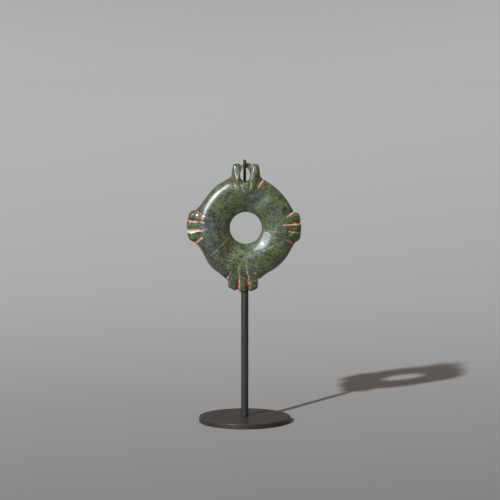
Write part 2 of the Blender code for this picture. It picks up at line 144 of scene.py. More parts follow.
PAINTED_LIGHT_SIDE = (0.6, -0.8)            # the way towards a groove's lit side, to the right and down, where light is painted
PAINTED_LIGHT_TONE = 0.9                     # how much paler the red earth is painted on that lit side, and darker on the shaded side
LIT_SIDE_LINE = 0.75                   # how strong the dark line is on the lit side
SHADED_SIDE_LINE = 1.15                   # and on the shaded side, where it is painted shade
LINE_START = 0.10                   # a dark line runs up each side of a groove, from this share of
LINE_SPAN = 0.45                    # the way in from its edge and over this much of it
PAINTED_RIM_SHADE = 0.55 * MM                # the dark line that follows the ring's outline, painted shade

# How finely the ring is shaped
RAYS = 720
BAND_STEPS = 42
ROUNDING_STEPS = 7
LUG_CROWDING = 4.0                  # rays stand closer together at the lugs
NEIGHBOUR_RAYS = 72                 # how far round the nearest point of the outline is looked for
FINE_ANGLES = 7201                  # where the rays' spacing is worked out
CORD_HOLE_SIDES = 72
SHARP_DEGREES = 38.0                # edges steeper than this are shown sharp

# The cord hole's worn lip: the share of the lug's thickness, from its middle, that stays straight,
# how much of a full quarter round the lip turns, and how steeply it goes on past the lug's face
LIP_START = 0.25
LIP_END = 0.9
LIP_SLOPE = 0.5
LIP_LEVELS = 8

# Slow waves left by hand grinding: turns per millimetre across and up, shift, and share
GRINDING_WAVES = (
    (0.11, 0.05, 0.3, 0.50),
    (-0.06, 0.13, 1.9, 0.45),
    (0.17, -0.10, 4.1, 0.30),
    (0.21, 0.19, 2.6, 0.20),
    (-0.27, 0.15, 5.2, 0.14),
)

# The wire's route behind the ring
ROUTE_TURN = 0.30                   # share of the stretch over which it swings to the crest
ROUTE_STATIONS = 36
BEND_STEPS = 10
ACROSS_WIRE = 5                     # places across the wire where the ring's back is measured
WIRE_SPACING = 0.35                 # millimetres from one point of the route to the next
WIRE_CHAMFER = 0.09                 # millimetres broken off the wire's cut ends
WIRE_SIDES = 24

# The seam of braze beside the post: how far it stops short of both ends, in millimetres, and its
# thickness as a share of the wire's
BEAD_CLEAR = 0.5
BEAD_SHARE = 0.85
BEAD_END = 0.02                     # the square of the share of its thickness left at its ends
BEAD_RIPPLES = ((0.08, 11.0), (0.05, 29.0))     # shares of its thickness, and turns in radians
BEAD_STEPS = 40

# How finely the foot and the post are turned, and the shares of a turned piece's profile at which its
# top face and its upper bend end. Its lower bend and its underside mirror them.
FOOT_SIDES = 256
POST_SIDES = 64
TURNED_STEPS = 40
FACE_END = 0.20
BEND_END = 0.45
MERGE_DISTANCE = 0.001 * MM

# The floor and its low wall, in metres, and the light that falls on them
FLOOR_RADIUS = 2.3
FLOOR_STEPS = 24
COVE_RADIUS = 0.4
COVE_STEPS = 16
FLOOR_SIDES = 128
KEY_COLOUR = (0.90, 0.957, 1.0)
ROOM_COLOUR = (1.0, 0.865, 0.76)
ROOM_LOW = 0.24                     # how strong the room's light is at the horizon
ROOM_RISE = 1.14                    # and how much stronger it is overhead

# The floor's colour at some distances behind the stand, in metres. It is painted light: darker at the
# front, lighter towards the back, and darker again where the floor curves up into its wall
FLOOR_PAINTED_LIGHT = (
    (-0.16, (0.162, 0.160, 0.160)), (-0.07, (0.192, 0.187, 0.189)), (0.05, (0.227, 0.224, 0.227)),
    (0.20, (0.288, 0.288, 0.295)), (0.38, (0.359, 0.359, 0.364)), (0.55, (0.409, 0.410, 0.418)),
    (0.77, (0.462, 0.471, 0.481)), (0.97, (0.512, 0.525, 0.540)), (1.21, (0.569, 0.590, 0.610)),
    (1.52, (0.636, 0.665, 0.692)), (1.90, (0.698, 0.737, 0.773)), (2.29, (0.725, 0.762, 0.799)),
    (2.40, (0.624, 0.645, 0.664)), (2.46, (0.574, 0.587, 0.601)), (2.54, (0.510, 0.511, 0.523)),
)

# Tones of the red earth, and the colour that each stands for
EARTH_TONES = (
    (-1.0, "cream_earth_and_painted_light"), (0.0, "pink_earth"), (0.5, "salmon_earth"), (1.0, "red_earth"),
    (1.8, "dirt_and_shade_brown"),
)

# The camera: its sensor's width in millimetres, and in metres how far right of the post it stands and
# how high it aims
SENSOR_WIDTH = 36.0
CAMERA_ASIDE = 0.0023
AIM_HEIGHT = 0.0756

# Broad patches of colour on the ring, three of them painted reflections of the inner highlight's haze:
# middle, half width and half height in millimetres from the middle of the leg hole, turn in degrees,
# which of the stone's colours it is, and how strong
Patch = namedtuple("Patch", "across up wide high turn colour strength")
PATCHES = (
    Patch(-17.5, 1.0, 8.0, 13.0, 0, "slate", 0.80),
    Patch(-15.3, -1.5, 3.2, 6.5, 0, "teal", 0.65),
    Patch(-10.5, -9.5, 9.5, 6.5, 40, "umber", 0.90),
    Patch(-10.8, -1.6, 3.0, 4.5, 0, "umber", 0.50),
    Patch(-9.0, 3.5, 3.0, 7.0, 0, "pale", 0.09),
    Patch(-22.5, 0.0, 3.6, 8.0, 0, "dark", 0.38),
    Patch(-4.0, -14.8, 6.0, 3.0, -12, "moss", 0.60),
    Patch(7.5, -13.0, 5.0, 3.0, 30, "moss", 0.55),
    Patch(21.8, 0.6, 4.0, 8.0, 0, "moss", 0.85),
    Patch(-22.3, 0.3, 3.6, 8.5, 0, "moss", 0.70),
    Patch(-0.6, -25.2, 9.0, 4.0, 0, "moss", 0.85),
    Patch(-9.5, 12.0, 6.5, 5.0, 30, "olive", 0.60),
    Patch(3.4, 12.0, 4.8, 6.0, -20, "slate", 0.90),
    Patch(12.2, 8.5, 2.6, 5.0, 20, "slate", 0.70),
    Patch(16.5, 13.5, 7.0, 6.5, -45, "olive", 0.85),
    Patch(13.5, -11.0, 9.0, 7.0, 40, "moss", 0.90),
    Patch(-2.0, -11.5, 5.5, 4.5, 0, "olive", 0.55),
    # Painted reflection: the blue green haze below the inner highlight.
    Patch(3.0, -18.0, 6.0, 3.0, 0, "teal", 0.40),
    Patch(-7.5, 13.0, 5.0, 4.0, -30, "slate", 0.45),
    Patch(-15.0, -8.5, 6.0, 5.0, -30, "dark", 0.36),
    # Painted highlight: the pale haze at the inner highlight's tail.
    Patch(-1.5, -11.5, 5.5, 2.6, -10, "pale", 0.22),
    # Painted highlight: the blue green haze round the inner highlight.
    Patch(6.5, -8.5, 6.0, 3.2, 40, "teal", 0.75),
    Patch(11.0, 0.5, 2.5, 4.0, 0, "dark", 0.15),
    Patch(-8.6, 15.2, 2.2, 1.7, 30, "dark", 0.55),
    Patch(5.7, 16.4, 1.6, 1.6, 0, "dark", 0.50),
    Patch(-8.6, 9.5, 1.5, 1.3, 0, "dark", 0.60),
    Patch(-11.3, -3.1, 1.6, 1.2, 40, "dark", 0.50),
)

# The polish is duller inside the crest, and where the cord has worn the right lip of its hole
INNER_POLISH = 0.66
CORD_WEAR = Patch(2.7, 24.3, 1.9, 4.8, -4, "", 0.85)

# Thin lines in the stone and along the carving: from and to, in the same millimetres, half width,
# how strong, and which of the stone's colours it is
Vein = namedtuple("Vein", "start end half_width strength colour")
VEINS = (
    Vein((-16.5, -12.8), (-7.0, -3.8), 0.20, 0.75, "pale"),
    Vein((6.5, -10.2), (17.0, -5.0), 0.20, 0.85, "pale"),
    Vein((-6.5, -19.8), (0.1, -21.8), 0.34, 0.95, "pale"),
    Vein((3.8, 8.1), (11.0, 14.3), 1.7, 0.58, "pale"),
    Vein((-1.5, -15.5), (-9.5, -13.0), 0.18, 0.60, "pale"),
    Vein((-4.5, -11.5), (-9.0, -16.5), 0.16, 0.55, "pale"),
    Vein((10.5, -1.2), (16.0, -1.6), 0.16, 0.60, "pale"),
    Vein((-21.5, -0.6), (-16.3, 0.0), 0.28, 0.80, "pale"),
    Vein((-23.6, -1.8), (-21.5, -1.7), 0.22, 0.85, "bone"),
    Vein((19.6, -1.7), (22.8, -2.0), 0.24, 0.75, "bone"),
    Vein((19.2, 0.2), (22.0, 0.3), 0.18, 0.55, "red_earth"),
    Vein((-2.2, 19.6), (-0.7, 15.8), 0.28, 0.75, "bone"),
    Vein((2.6, 20.0), (1.7, 16.6), 0.30, 0.75, "bone"),
    Vein((-3.3, -19.6), (-3.0, -15.4), 0.26, 0.70, "bone"),
    Vein((0.3, -19.3), (0.2, -15.4), 0.26, 0.70, "bone"),
    Vein((-8.0, -17.6), (-7.3, -15.6), 0.24, 0.55, "bone"),
    Vein((1.9, -23.0), (2.1, -26.4), 0.22, 0.60, "bone"),
)

# Smears of red earth away from the grooves, and two cream spots that are painted glints: middle, half
# width and half height in the same millimetres, how much, and tone
Smear = namedtuple("Smear", "across up wide high strength tone")
SMEARS = (
    Smear(-3.0, 27.2, 0.9, 0.9, 0.95, 1.0),
    Smear(2.3, 26.8, 0.8, 1.1, 0.80, -0.9),
    Smear(-0.3, 19.7, 2.6, 0.7, 0.80, 0.4),
    Smear(1.7, 21.2, 0.7, 1.4, 0.65, 0.2),
    Smear(-2.1, 26.4, 0.7, 1.0, 0.65, 1.7),
    Smear(-23.4, -0.8, 2.0, 0.8, 0.80, -0.9),
    Smear(-21.4, 3.2, 1.2, 0.5, 0.75, -0.5),
    Smear(-18.6, 3.1, 1.3, 0.5, 0.75, -0.4),
    Smear(-21.3, -4.9, 1.1, 0.9, 0.95, 0.7),
    Smear(1.5, -21.4, 0.7, 2.0, 0.75, -0.3),
    # Painted glints: two cream spots in the right lug's notches, where the rim catches the light.
    Smear(23.6, 2.5, 0.6, 0.5, 0.95, -1.0),
    Smear(23.7, -2.0, 0.6, 0.5, 0.95, -1.0),
)

# The shaders' noises: turns per millimetre, detail, roughness, and how far the pattern is moved
Noise = namedtuple("Noise", "scale detail rough seed")
NOISE_WAY = (1.0, 1.7, 0.6)         # the way that a pattern is moved
SWIRL = Noise(0.16, 3.0, 0.55, 3.1)
WAVER = Noise(0.60, 3.0, 0.55, 8.7)
CLOUDS = Noise(0.13, 5.0, 0.62, 1.0)
MOTTLE = Noise(0.42, 6.0, 0.66, 5.3)
GRAIN = Noise(1.3, 4.0, 0.60, 9.9)
FIBRES = Noise(0.9, 4.0, 0.60, 2.4)
FINE_FIBRES = Noise(3.4, 2.0, 0.60, 27.0)
SCRATCHES = Noise(6.0, 3.0, 0.70, 61.0)
FLECKS = Noise(1.6, 5.0, 0.75, 14.2)
FLECK_CLUSTERS = Noise(0.22, 2.0, 0.50, 21.0)
PALE_GRAINS = Noise(2.0, 4.0, 0.70, 31.0)
SCUFFS = Noise(0.8, 2.0, 0.50, 0.0)
VEIN_BREAKS = Noise(1.1, 3.0, 0.60, 17.0)
EARTH_PATCHES = Noise(1.5, 4.0, 0.65, 41.0)
EARTH_CRUMBS = Noise(0.8, 4.0, 0.72, 52.0)
LACQUER_CLOUDS = Noise(0.25, 4.0, 0.60, 4.0)
LACQUER_SPECKLE = Noise(2.6, 3.0, 0.60, 7.0)
LACQUER_DUST = Noise(3.4, 2.0, 0.50, 12.0)

# Rises: from `bottom` to `top` as a value goes from `low` to `high`
Rise = namedtuple("Rise", "low high bottom top", defaults=(0.0, 1.0))
OLIVE_CLOUD = Rise(0.38, 0.64)
SLATE_CLOUD = Rise(0.48, 0.64, 0.0, 0.70)
PATCH_EDGE = Rise(1.25, 0.35)
VEIN_EDGE = Rise(1.6, 0.3)
VEIN_END = Rise(1.05, 0.75)
VEIN_BREAK = Rise(0.36, 0.56, 0.12, 1.0)
MOTTLE_LIGHT = Rise(0.33, 0.67)
DARK_FLECK = Rise(0.55, 0.61)
FLECK_CLUSTER = Rise(0.45, 0.57, 0.08, 1.0)
PALE_GRAIN = Rise(0.58, 0.64, 0.0, 0.50)
SCUFF_EDGE = Rise(0.65, 0.70, 0.0, 0.50)
DARK_SHADE_LINE = Rise(0.40, 0.85, 0.0, 0.80)
EARTH_EDGE = Rise(0.38, 0.80)
DULLED = Rise(14.0, 11.5)           # by its distance from the middle of the leg hole
DUST_GRAIN = Rise(0.66, 0.74)
LACQUER_CLOUD = Rise(0.35, 0.65)
OVERHEAD = Rise(0.0, 1.0)

# Clouds of two more colours in the stone
MORE_CLOUDS = (
    ("teal", Noise(0.34, 5.0, 0.66, 91.0), Rise(0.55, 0.65, 0.0, 0.70)),
    ("umber", Noise(0.34, 5.0, 0.66, 95.0), Rise(0.56, 0.66, 0.0, 0.70)),
)

# How far noise pushes the clouds and the veins about, in millimetres
SWIRL_REACH = 3.0
WAVER_REACH = 0.5

# The stone's fibres and scuffs are noise that is drawn out one way: its turn in degrees, and its
# stretch along and across it. Each way of the scuffs moves its pattern by its own seed.
FIBRE_TURN = 38.0
FIBRE_STRETCH = (3.2, 0.9)
SCUFF_TURNS = ((38.0, 71.0), (-24.0, 75.0), (-64.0, 79.0))
SCUFF_STRETCH = (3.6, 0.28)
FLAT = 1.0e4                        # stretch that makes a patch of colour go right through the ring

# The stone's lightness: its least, and what the mottling, fibres, grain and fine fibres add
LEAST_LIGHT = 0.34
MOTTLE_SHARE = 1.12
FIBRE_SHARE = 0.90
GRAIN_SHARE = 2.20
FINE_SHARE = 3.20

# The red earth: how much its tone, its edge and the dark lines vary, how much of the stone it hides
# and how much of the polish it takes away
TONE_VARIES = 6.5
EARTH_VARIES = 1.5
LINES_VARY = 1.2
EARTH_COVER = 0.88
EARTH_DULLS = 0.80

# Roughness of the stone: of the bare stone, and what the inner slope, mottling and earth add
STONE_ROUGH = 0.43
INNER_ROUGH = 0.08
MOTTLE_ROUGH = 0.14
EARTH_ROUGH = 0.26

# Relief of the scratches and the earth, as shares of the grain's, and its strength and its depth
SCRATCH_RELIEF = 0.35
EARTH_RELIEF = 0.6
STONE_BUMP = (0.8, 0.10 * MM)

# The lacquer: its roughness, what clouds and speckle add to it, and the relief's strength and depth
LACQUER_ROUGH = 0.43
CLOUD_ROUGH = 0.10
SPECKLE_ROUGH = 0.12
LACQUER_BUMP = (0.10, 0.03 * MM)

# Dust on the lacquer: the brown tint of a dusty cloud, which on the foot is also painted warm
# reflection, how much of a dusty piece is clouded at least, the colour of the grains, how strong they
# are at least, and how much stronger on a dusty piece
DUST_AND_SHEEN_TINT = (1.25, 1.05, 0.9)
LEAST_CLOUDED = 0.2
DUST_COLOUR = (0.09, 0.085, 0.08)
LEAST_DUST, MORE_DUST = 0.10, 0.25

# How brown and dusty the lacquer of each piece is, from 0 to 1. The foot's brown is also painted warm
# reflection.
FOOT_DUST_AND_SHEEN, POST_DUST_AND_SHEEN, WIRE_DUST_AND_SHEEN = 1.0, 0.0, 0.15

# What stays the same all over each finish
STONE_SHADER = {
    "IOR": 1.62, "Specular IOR Level": 0.19, "Subsurface Weight": 0.12,
    "Subsurface Radius": (0.5, 1.0, 0.4), "Subsurface Scale": 1.2 * MM,
    "Coat Roughness": 0.09, "Coat IOR": 1.55,
}
LACQUER_SHADER = {"Specular IOR Level": 0.37}
FLOOR_SHADER = {"Roughness": 0.85, "Specular IOR Level": 0.25}


def length_property(name, description, default):
    """A length that a user can change."""
    return FloatProperty(name=name, description=description, default=default, unit="LENGTH")


def strength_property(name, description, default):
    """A number of a light's that a user can change."""
    return FloatProperty(name=name, description=description, default=default, min=0.0)


def number_property(name, description, default):
    """A plain number or an angle in degrees that a user can change."""
    return FloatProperty(name=name, description=description, default=default)


def colour_property(name, description, default):
    """A colour that a user can change."""
    return FloatVectorProperty(
        name=name, description=description, default=default, subtype="COLOR", min=0.0, max=1.0)


class RingSizes(bpy.types.PropertyGroup):
    """Sizes of the stone ring."""

    body_radius: length_property(
        "Body radius", "Radius of the round band, without its lugs", 21.85 * MM)
    leg_hole_diameter: length_property(
        "Leg hole", "Diameter of the hole for the bird's leg", 13.9 * MM)
    thickness: length_property(
        "Thickness", "Thickness at the crest of the band, on its thick side", RING_HIGH.y - RING_LOW.y)
    leg_hole_wall: length_property(
        "Leg hole wall", "Thickness left at the leg hole", 1.9 * MM)
    rim_wall: length_property(
        "Rim wall", "Thickness left at the outer rim, between the lugs", 1.6 * MM)
    lug_thickness: length_property(
        "Lug thickness", "Thickness at the foot of a lug", 5.0 * MM)
    lug_blend: length_property(
        "Lug blend", "Softness of the join between the dome and a lug", 0.5 * MM)
    rim_rounding: length_property(
        "Rim rounding", "Radius of the rounded outline", 1.4 * MM)
    leg_hole_rounding: length_property(
        "Leg hole rounding", "Radius of the leg hole's rounded edge", 0.5 * MM)
    cord_hole_width: length_property(
        "Cord hole width", "Width of the hole in the top lug", 4.3 * MM)
    cord_hole_height: length_property(
        "Cord hole height", "Height of the hole in the top lug", 6.1 * MM)
    cord_bridge: length_property(
        "Cord bridge", "Stone between the cord hole and the top lug's tip", 1.85 * MM)
    cord_hole_shift: length_property(
        "Cord hole shift", "How far right of the leg hole the cord hole lies", -0.3 * MM)
    cord_hole_lip: length_property(
        "Cord hole lip", "Width of the worn, rounded lip of the cord hole", 0.7 * MM)
    groove_width: length_property(
        "Groove width", "Width of a carved groove at the rim", 1.8 * MM)
    groove_depth: length_property(
        "Groove depth", "Depth of a carved groove at the rim", 0.85 * MM)
    notch_depth: length_property(
        "Notch depth", "How far a groove cuts into the outline", 1.0 * MM)
    notch_width: length_property(
        "Notch width", "Width of a notch in the outline", 2.6 * MM)
    grinding: length_property(
        "Grinding waves", "Height of the slow waves left by hand grinding", 0.035 * MM)
    shift: length_property(
        "Ring shift", "How far right of the post's axis the leg hole stands", 0.5 * MM)


class StoneLooks(bpy.types.PropertyGroup):
    """Colours of the greenstone and of the red earth in its grooves."""

    ground: colour_property(
        "Ground", "The stone's main grey green", (0.041, 0.051, 0.020))
    olive: colour_property(
        "Olive", "Clear olive green areas", (0.059, 0.079, 0.014))
    moss: colour_property(
        "Moss", "Deep moss green areas", (0.036, 0.048, 0.004))
    slate: colour_property(
        "Slate", "Dull blue grey areas", (0.036, 0.044, 0.038))
    teal: colour_property(
        "Teal", "Blue green areas", (0.044, 0.066, 0.056))
    umber: colour_property(
        "Umber", "Brown clouds", (0.031, 0.024, 0.011))
    dark: colour_property(
        "Dark grains", "Black grains and specks in the stone", (0.008, 0.009, 0.006))
    pale: colour_property(
        "Pale veins", "Pale veins and flecks", (0.165, 0.200, 0.125))
    bone: colour_property(
        "Worn lines", "Beige, worn lines beside the carving", (0.300, 0.250, 0.165))
    red_earth: colour_property(
        "Red earth", "Deep red earth in the grooves", (0.185, 0.048, 0.032))
    salmon_earth: colour_property(
        "Salmon earth", "Half-faded red earth in the grooves", (0.350, 0.130, 0.082))
    pink_earth: colour_property(
        "Dusty earth", "Pale, dusty pink earth in the grooves", (0.400, 0.225, 0.165))
    # Chalky cream, which the tone also reaches where the grooves' lit sides are painted paler.
    cream_earth_and_painted_light: colour_property(
        "Chalky earth", "Chalky cream left where the red has gone", (0.470, 0.420, 0.320))
    # It is also the colour of the dark lines: the one along the outline is painted shade, and those
    # along the grooves are painted stronger on their shaded side.
    dirt_and_shade_brown: colour_property(
        "Old dirt", "Black brown dirt beside and in the grooves", (0.022, 0.010, 0.007))


class StandSizes(bpy.types.PropertyGroup):
    """Sizes and colour of the black display stand."""

    foot_diameter: length_property(
        "Foot diameter", "Diameter of the round foot", FOOT_HIGH.x - FOOT_LOW.x)
    foot_thickness: length_property(
        "Foot thickness", "Thickness of the round foot", FOOT_HIGH.z - FOOT_LOW.z)
    foot_edge: length_property(
        "Foot edge", "Radius of the foot's rounded edges", 0.22 * MM)
    post_diameter: length_property(
        "Post diameter", "Diameter of the upright rod", POST_HIGH.x - POST_LOW.x)
    post_edge: length_property(
        "Post edge", "Radius of the rod's rounded top edge", 0.2 * MM)
    wire_diameter: length_property(
        "Wire diameter", "Diameter of the hook's wire", 1.25 * MM)
    hook_bend: length_property(
        "Hook bend", "Radius of the two bends at the hook", 1.9 * MM)
    brazed_length: length_property(
        "Brazed length", "How far the wire runs down behind the post", 9.0 * MM)
    brazed_aside: length_property(
        "Brazed aside", "How far right of the post's axis the wire is brazed to it", 1.0 * MM)
    lacquer: colour_property(
        "Lacquer", "The stand's satin black", (0.0175, 0.0165, 0.0175))


class StageLooks(bpy.types.PropertyGroup):
    """The floor, the lights and the camera."""

    floor: colour_property(
        "Floor", "Tint of the plain floor", (1.0, 1.0, 1.0))
    key_watts: strength_property(
        "Key light", "Strength of the main light, in watts", 157.0)
    key_size: length_property(
        "Key size", "Diameter of the main light", 0.10)
    key_left: number_property(
        "Key side", "How many degrees left of the camera's side the main light is", 32.9)
    key_up: number_property(
        "Key height", "How many degrees above the ring the main light is", 31.8)
    key_distance: length_property(
        "Key distance", "From the main light to the ring", 2.9)
    softbox_watts: strength_property(
        "Softbox", "Strength of the large light that shows in the polish, in watts", 33.0)
    softbox_left: number_property(
        "Softbox side", "How many degrees left of the camera's side the softbox is", 36.1)
    softbox_up: number_property(
        "Softbox height", "How many degrees above the ring the softbox is", 26.6)
    softbox_turn: number_property(
        "Softbox turn", "How many degrees the softbox's long side is turned up", 61.0)
    softbox_long: length_property(
        "Softbox length", "Length of the oval softbox", 1.8)
    softbox_short: length_property(
        "Softbox width", "Width of the oval softbox", 0.84)
    softbox_distance: length_property(
        "Softbox distance", "From the softbox to the ring", 2.0)
    room: strength_property(
        "Room light", "Strength of the soft light from all round", 0.357)
    lens: number_property(
        "Lens", "Focal length of the camera, in millimetres", 213.3)
    camera_height: length_property(
        "Camera height", "Height of the camera above the floor", 0.236)
    camera_distance: length_property(
        "Camera distance", "Level distance from the camera to the stand", 1.279)


def eased(share):
    """A smooth step from 0 to 1 as the share goes from 0 to 1."""
    share = np.clip(share, 0.0, 1.0)
    return share * share * (3.0 - 2.0 * share)


def angle_between(angle, other):
    """The signed difference of two angles, from -180 to 180 degrees."""
    return (angle - other + 180.0) % 360.0 - 180.0


def degrees_past(angle, lug):
    """How far an angle lies outside the lug's sides. It is negative on the lug."""
    middle = (lug.start + lug.end) / 2
    return np.abs(angle_between(angle, middle)) - (lug.end - lug.start) / 2


def lug_share(angle, lug):
    """1 on the lug, 0 away from it, and a smooth slope on its two sides."""
    return 1.0 - eased(degrees_past(angle, lug) / lug.flank + 0.5)


def on_ring(radius, angle):
    """Place in the ring's plane, measured from the middle of the leg hole."""
    turn = np.radians(angle)
    return radius * np.cos(turn), radius * np.sin(turn)


def rounding(distance, radius):
    """Share of the full thickness at a distance from a rounded edge."""
    inward = np.clip(distance / radius, 0.0, 1.0)
    return np.sqrt(1.0 - (1.0 - inward) ** 2)


def distance_to_outline(x, z):
    """Distance of each point of the grid of rays from the outline, which is the grid's last column."""
    nearest = np.full(x.shape, np.inf)
    rim_x, rim_z = x[:, -1], z[:, -1]
    for turn in range(-NEIGHBOUR_RAYS, NEIGHBOUR_RAYS):
        start_x, start_z = np.roll(rim_x, -turn)[:, None], np.roll(rim_z, -turn)[:, None]
        edge_x = np.roll(rim_x, -turn - 1)[:, None] - start_x
        edge_z = np.roll(rim_z, -turn - 1)[:, None] - start_z
        along = ((x - start_x) * edge_x + (z - start_z) * edge_z) / (edge_x ** 2 + edge_z ** 2)
        along = np.clip(along, 0.0, 1.0)
        gap = np.hypot(x - start_x - along * edge_x, z - start_z - along * edge_z)
        nearest = np.minimum(nearest, gap)
    return nearest


def grinding_waves(x, z):
    """Height of the slow waves of the hand-ground surface, about -1 to 1."""
    return sum(share * np.sin(2 * math.pi * (across * x + up * z) / MM + shift)
               for across, up, shift, share in GRINDING_WAVES)


class RingForm:
    """The ring's shape, worked out from its sizes. Lengths are in metres and angles in degrees."""

    def __init__(self, sizes):
        self.sizes = sizes
        self.hole_radius = sizes.leg_hole_diameter / 2
        self.crest_radius = self.hole_radius + (sizes.body_radius - self.hole_radius) * CREST
        self.cord_top = sizes.body_radius * TOP_LUG.reach - sizes.cord_bridge
        self.cord_middle = self.cord_top - sizes.cord_hole_height / 2
        self.centre = Vector((
            sizes.shift, 0.0, POST_HIGH.z + SOLID_GAP + sizes.body_radius * BOTTOM_LUG.reach))

    def body_radius(self, angle):
        """Radius of the round body, eased from one stated angle to the next."""
        stations = np.array(BODY_OUTLINE)
        angles = np.append(stations[:, 0], 360.0)
        shares = np.append(stations[:, 1], stations[0, 1])
        angle = np.asarray(angle) % 360.0
        after = np.searchsorted(angles, angle, side="right").clip(1, len(angles) - 1)
        before = after - 1
        blend = eased((angle - angles[before]) / (angles[after] - angles[before]))
        return self.sizes.body_radius * (shares[before] + (shares[after] - shares[before]) * blend)

    def lug_radius(self, angle, lug):
        """How far out the lug's tip reaches at an angle."""
        half_span = (lug.end - lug.start) / 2
        from_middle = 1.0 + degrees_past(angle, lug) / half_span
        return self.sizes.body_radius * (lug.reach - lug.crown * np.clip(from_middle, 0.0, 1.0) ** 2)

    def outline_radius(self, angle):
        """The outline: the body, its four lugs and the notches at their grooves' ends."""
        sizes = self.sizes
        radius = self.body_radius(angle)
        for lug in LUGS:
            skirt = np.clip(1.0 - degrees_past(angle, lug) / SKIRT_SPAN, 0.0, 1.0) ** 2
            radius = radius + SKIRT * sizes.body_radius * skirt
        for lug in LUGS:
            radius = radius + (self.lug_radius(angle, lug) - radius) * lug_share(angle, lug)
        half_angle = math.degrees(sizes.notch_width / 2 / sizes.body_radius)
        for lug in LUGS:
            for groove in lug.grooves:
                near = 1.0 - np.abs(angle_between(angle, groove.rim)) / half_angle
                radius = radius - sizes.notch_depth * groove.notch * np.clip(near, 0.0, 1.0) ** 2
        return radius

    def lug_height(self, radius, angle, side):
        """Height of the lugs on one side, where they taper to their tips, and of the rim between."""
        rim_height = self.sizes.rim_wall / 2
        height = rim_height
        for lug in LUGS:
            foot, tip = getattr(lug, side)
            outward = np.clip((radius / self.sizes.body_radius - 1.0) / (lug.reach - 1.0), 0.0, 1.0)
            on_lug = self.sizes.lug_thickness / 2 * (foot + (tip - foot) * outward)
            height = height + (on_lug - rim_height) * lug_share(angle, lug)
        return height

    def across_band(self, radius, edge):
        """Shares of the way from the crest in to the leg hole and out to the dome's edge."""
        inner = (self.crest_radius - radius) / (self.crest_radius - self.hole_radius)
        outer = (radius - self.crest_radius) / (edge - self.crest_radius)
        return np.clip(inner, 0.0, 1.0), np.clip(outer, 0.0, 1.0)

    def with_lugs(self, dome, outer, radius, angle, side):
        """The dome's height, eased into the lugs' where they are higher."""
        blend = self.sizes.lug_blend
        joined = blend * np.logaddexp(dome / blend, self.lug_height(radius, angle, side) / blend)
        return dome + (joined - dome) * eased(outer / LUG_START)

    def band_height(self, radius, angle):
        """Height of the domed back, which is half the plain band's thickness, without its carving."""
        sizes = self.sizes
        inner, outer = self.across_band(radius, self.body_radius(angle))
        swelling = 1.0 + UNEVENNESS * np.cos(np.radians(angle - THICK_SIDE))
        crest_height = sizes.thickness / 2 * swelling / (1.0 + UNEVENNESS)
        dome = crest_height - (crest_height - sizes.leg_hole_wall / 2) * inner ** INNER_CURVE
        dome -= (crest_height - sizes.rim_wall / 2) * outer ** OUTER_CURVE
        return self.with_lugs(dome, outer, radius, angle, "back")

    def front_height(self, radius, angle):
        """Height of the domed front, which was ground rounder and lower on one side."""
        sizes = self.sizes
        inner, outer = self.across_band(radius, sizes.body_radius * FRONT_EDGE)
        crest_height = sizes.thickness / 2 * FRONT_CREST
        hole_height = sizes.leg_hole_wall / 2 * FRONT_HOLE_WALL
        dome = crest_height - (crest_height - hole_height) * inner ** INNER_CURVE
        dome -= (crest_height - sizes.rim_wall / 2) * outer ** OUTER_CURVE
        lean = (FRONT_LEAN + FUNNEL_LEAN * inner) * radius * np.cos(np.radians(angle - THICK_SIDE))
        dome += lean * (1.0 - outer ** LEAN_FADE) * (1.0 - inner ** LEAN_FADE)
        return self.with_lugs(dome, outer, radius, angle, "front")

    def one_groove(self, groove, x, z):
        """A groove's depth at some points, how much red earth is left there, its tone, which is painted
        paler on the groove's lit side and darker on its shaded side, and the dark lines along the
        groove's sides, painted stronger on the shaded side."""
        sizes = self.sizes
        rim = self.outline_radius(np.array([float(groove.rim)]))[0]
        start_x, start_z = on_ring(rim, groove.rim)
        end_x, end_z = on_ring(groove.inner * sizes.body_radius, groove.end)
        length = math.hypot(end_x - start_x, end_z - start_z)
        way_x, way_z = (end_x - start_x) / length, (end_z - start_z) / length
        along = ((x - start_x) * way_x + (z - start_z) * way_z) / length
        beside = (x - start_x) * way_z - (z - start_z) * way_x
        across = np.abs(beside)
        faded = 1.0 - eased(along)
        taper = 1.0 - GROOVE_TAPER * (1.0 - faded)
        half_width = groove.width * sizes.groove_width / 2 * taper
        share = np.clip(1.0 - across / half_width, 0.0, 1.0)
        wide = np.clip(1.0 - across / (half_width * ROUNDED_REACH), 0.0, 1.0)
        cut = groove.depth * sizes.groove_depth * faded * (
            (1.0 - ROUNDED_SHARE) * share ** RIDGE_POWER + ROUNDED_SHARE * wide ** 2)
        within = eased(faded * PAINT_REACH)
        earth = groove.paint * eased(share * PAINT_SPREAD) * within
        # Painted light and shade: `dusty` runs towards the groove's lit side, to the right and down.
        # The tone is paler there and darker on the shaded side, and the dark line is stronger on the
        # shaded side.
        dusty = beside * (way_z * PAINTED_LIGHT_SIDE[0] - way_x * PAINTED_LIGHT_SIDE[1]) / half_width
        dusty = np.clip(dusty, -1.0, 1.0)
        shade = groove.outer_tone + (groove.inner_tone - groove.outer_tone) * eased(along)
        across_line = (share - LINE_START) / LINE_SPAN
        line = np.clip(4.0 * across_line * (1.0 - across_line), 0.0, 1.0) * within
        line = line * groove.paint * np.where(dusty < 0.0, SHADED_SIDE_LINE, LIT_SIDE_LINE)
        return cut, earth, shade - PAINTED_LIGHT_TONE * dusty, line

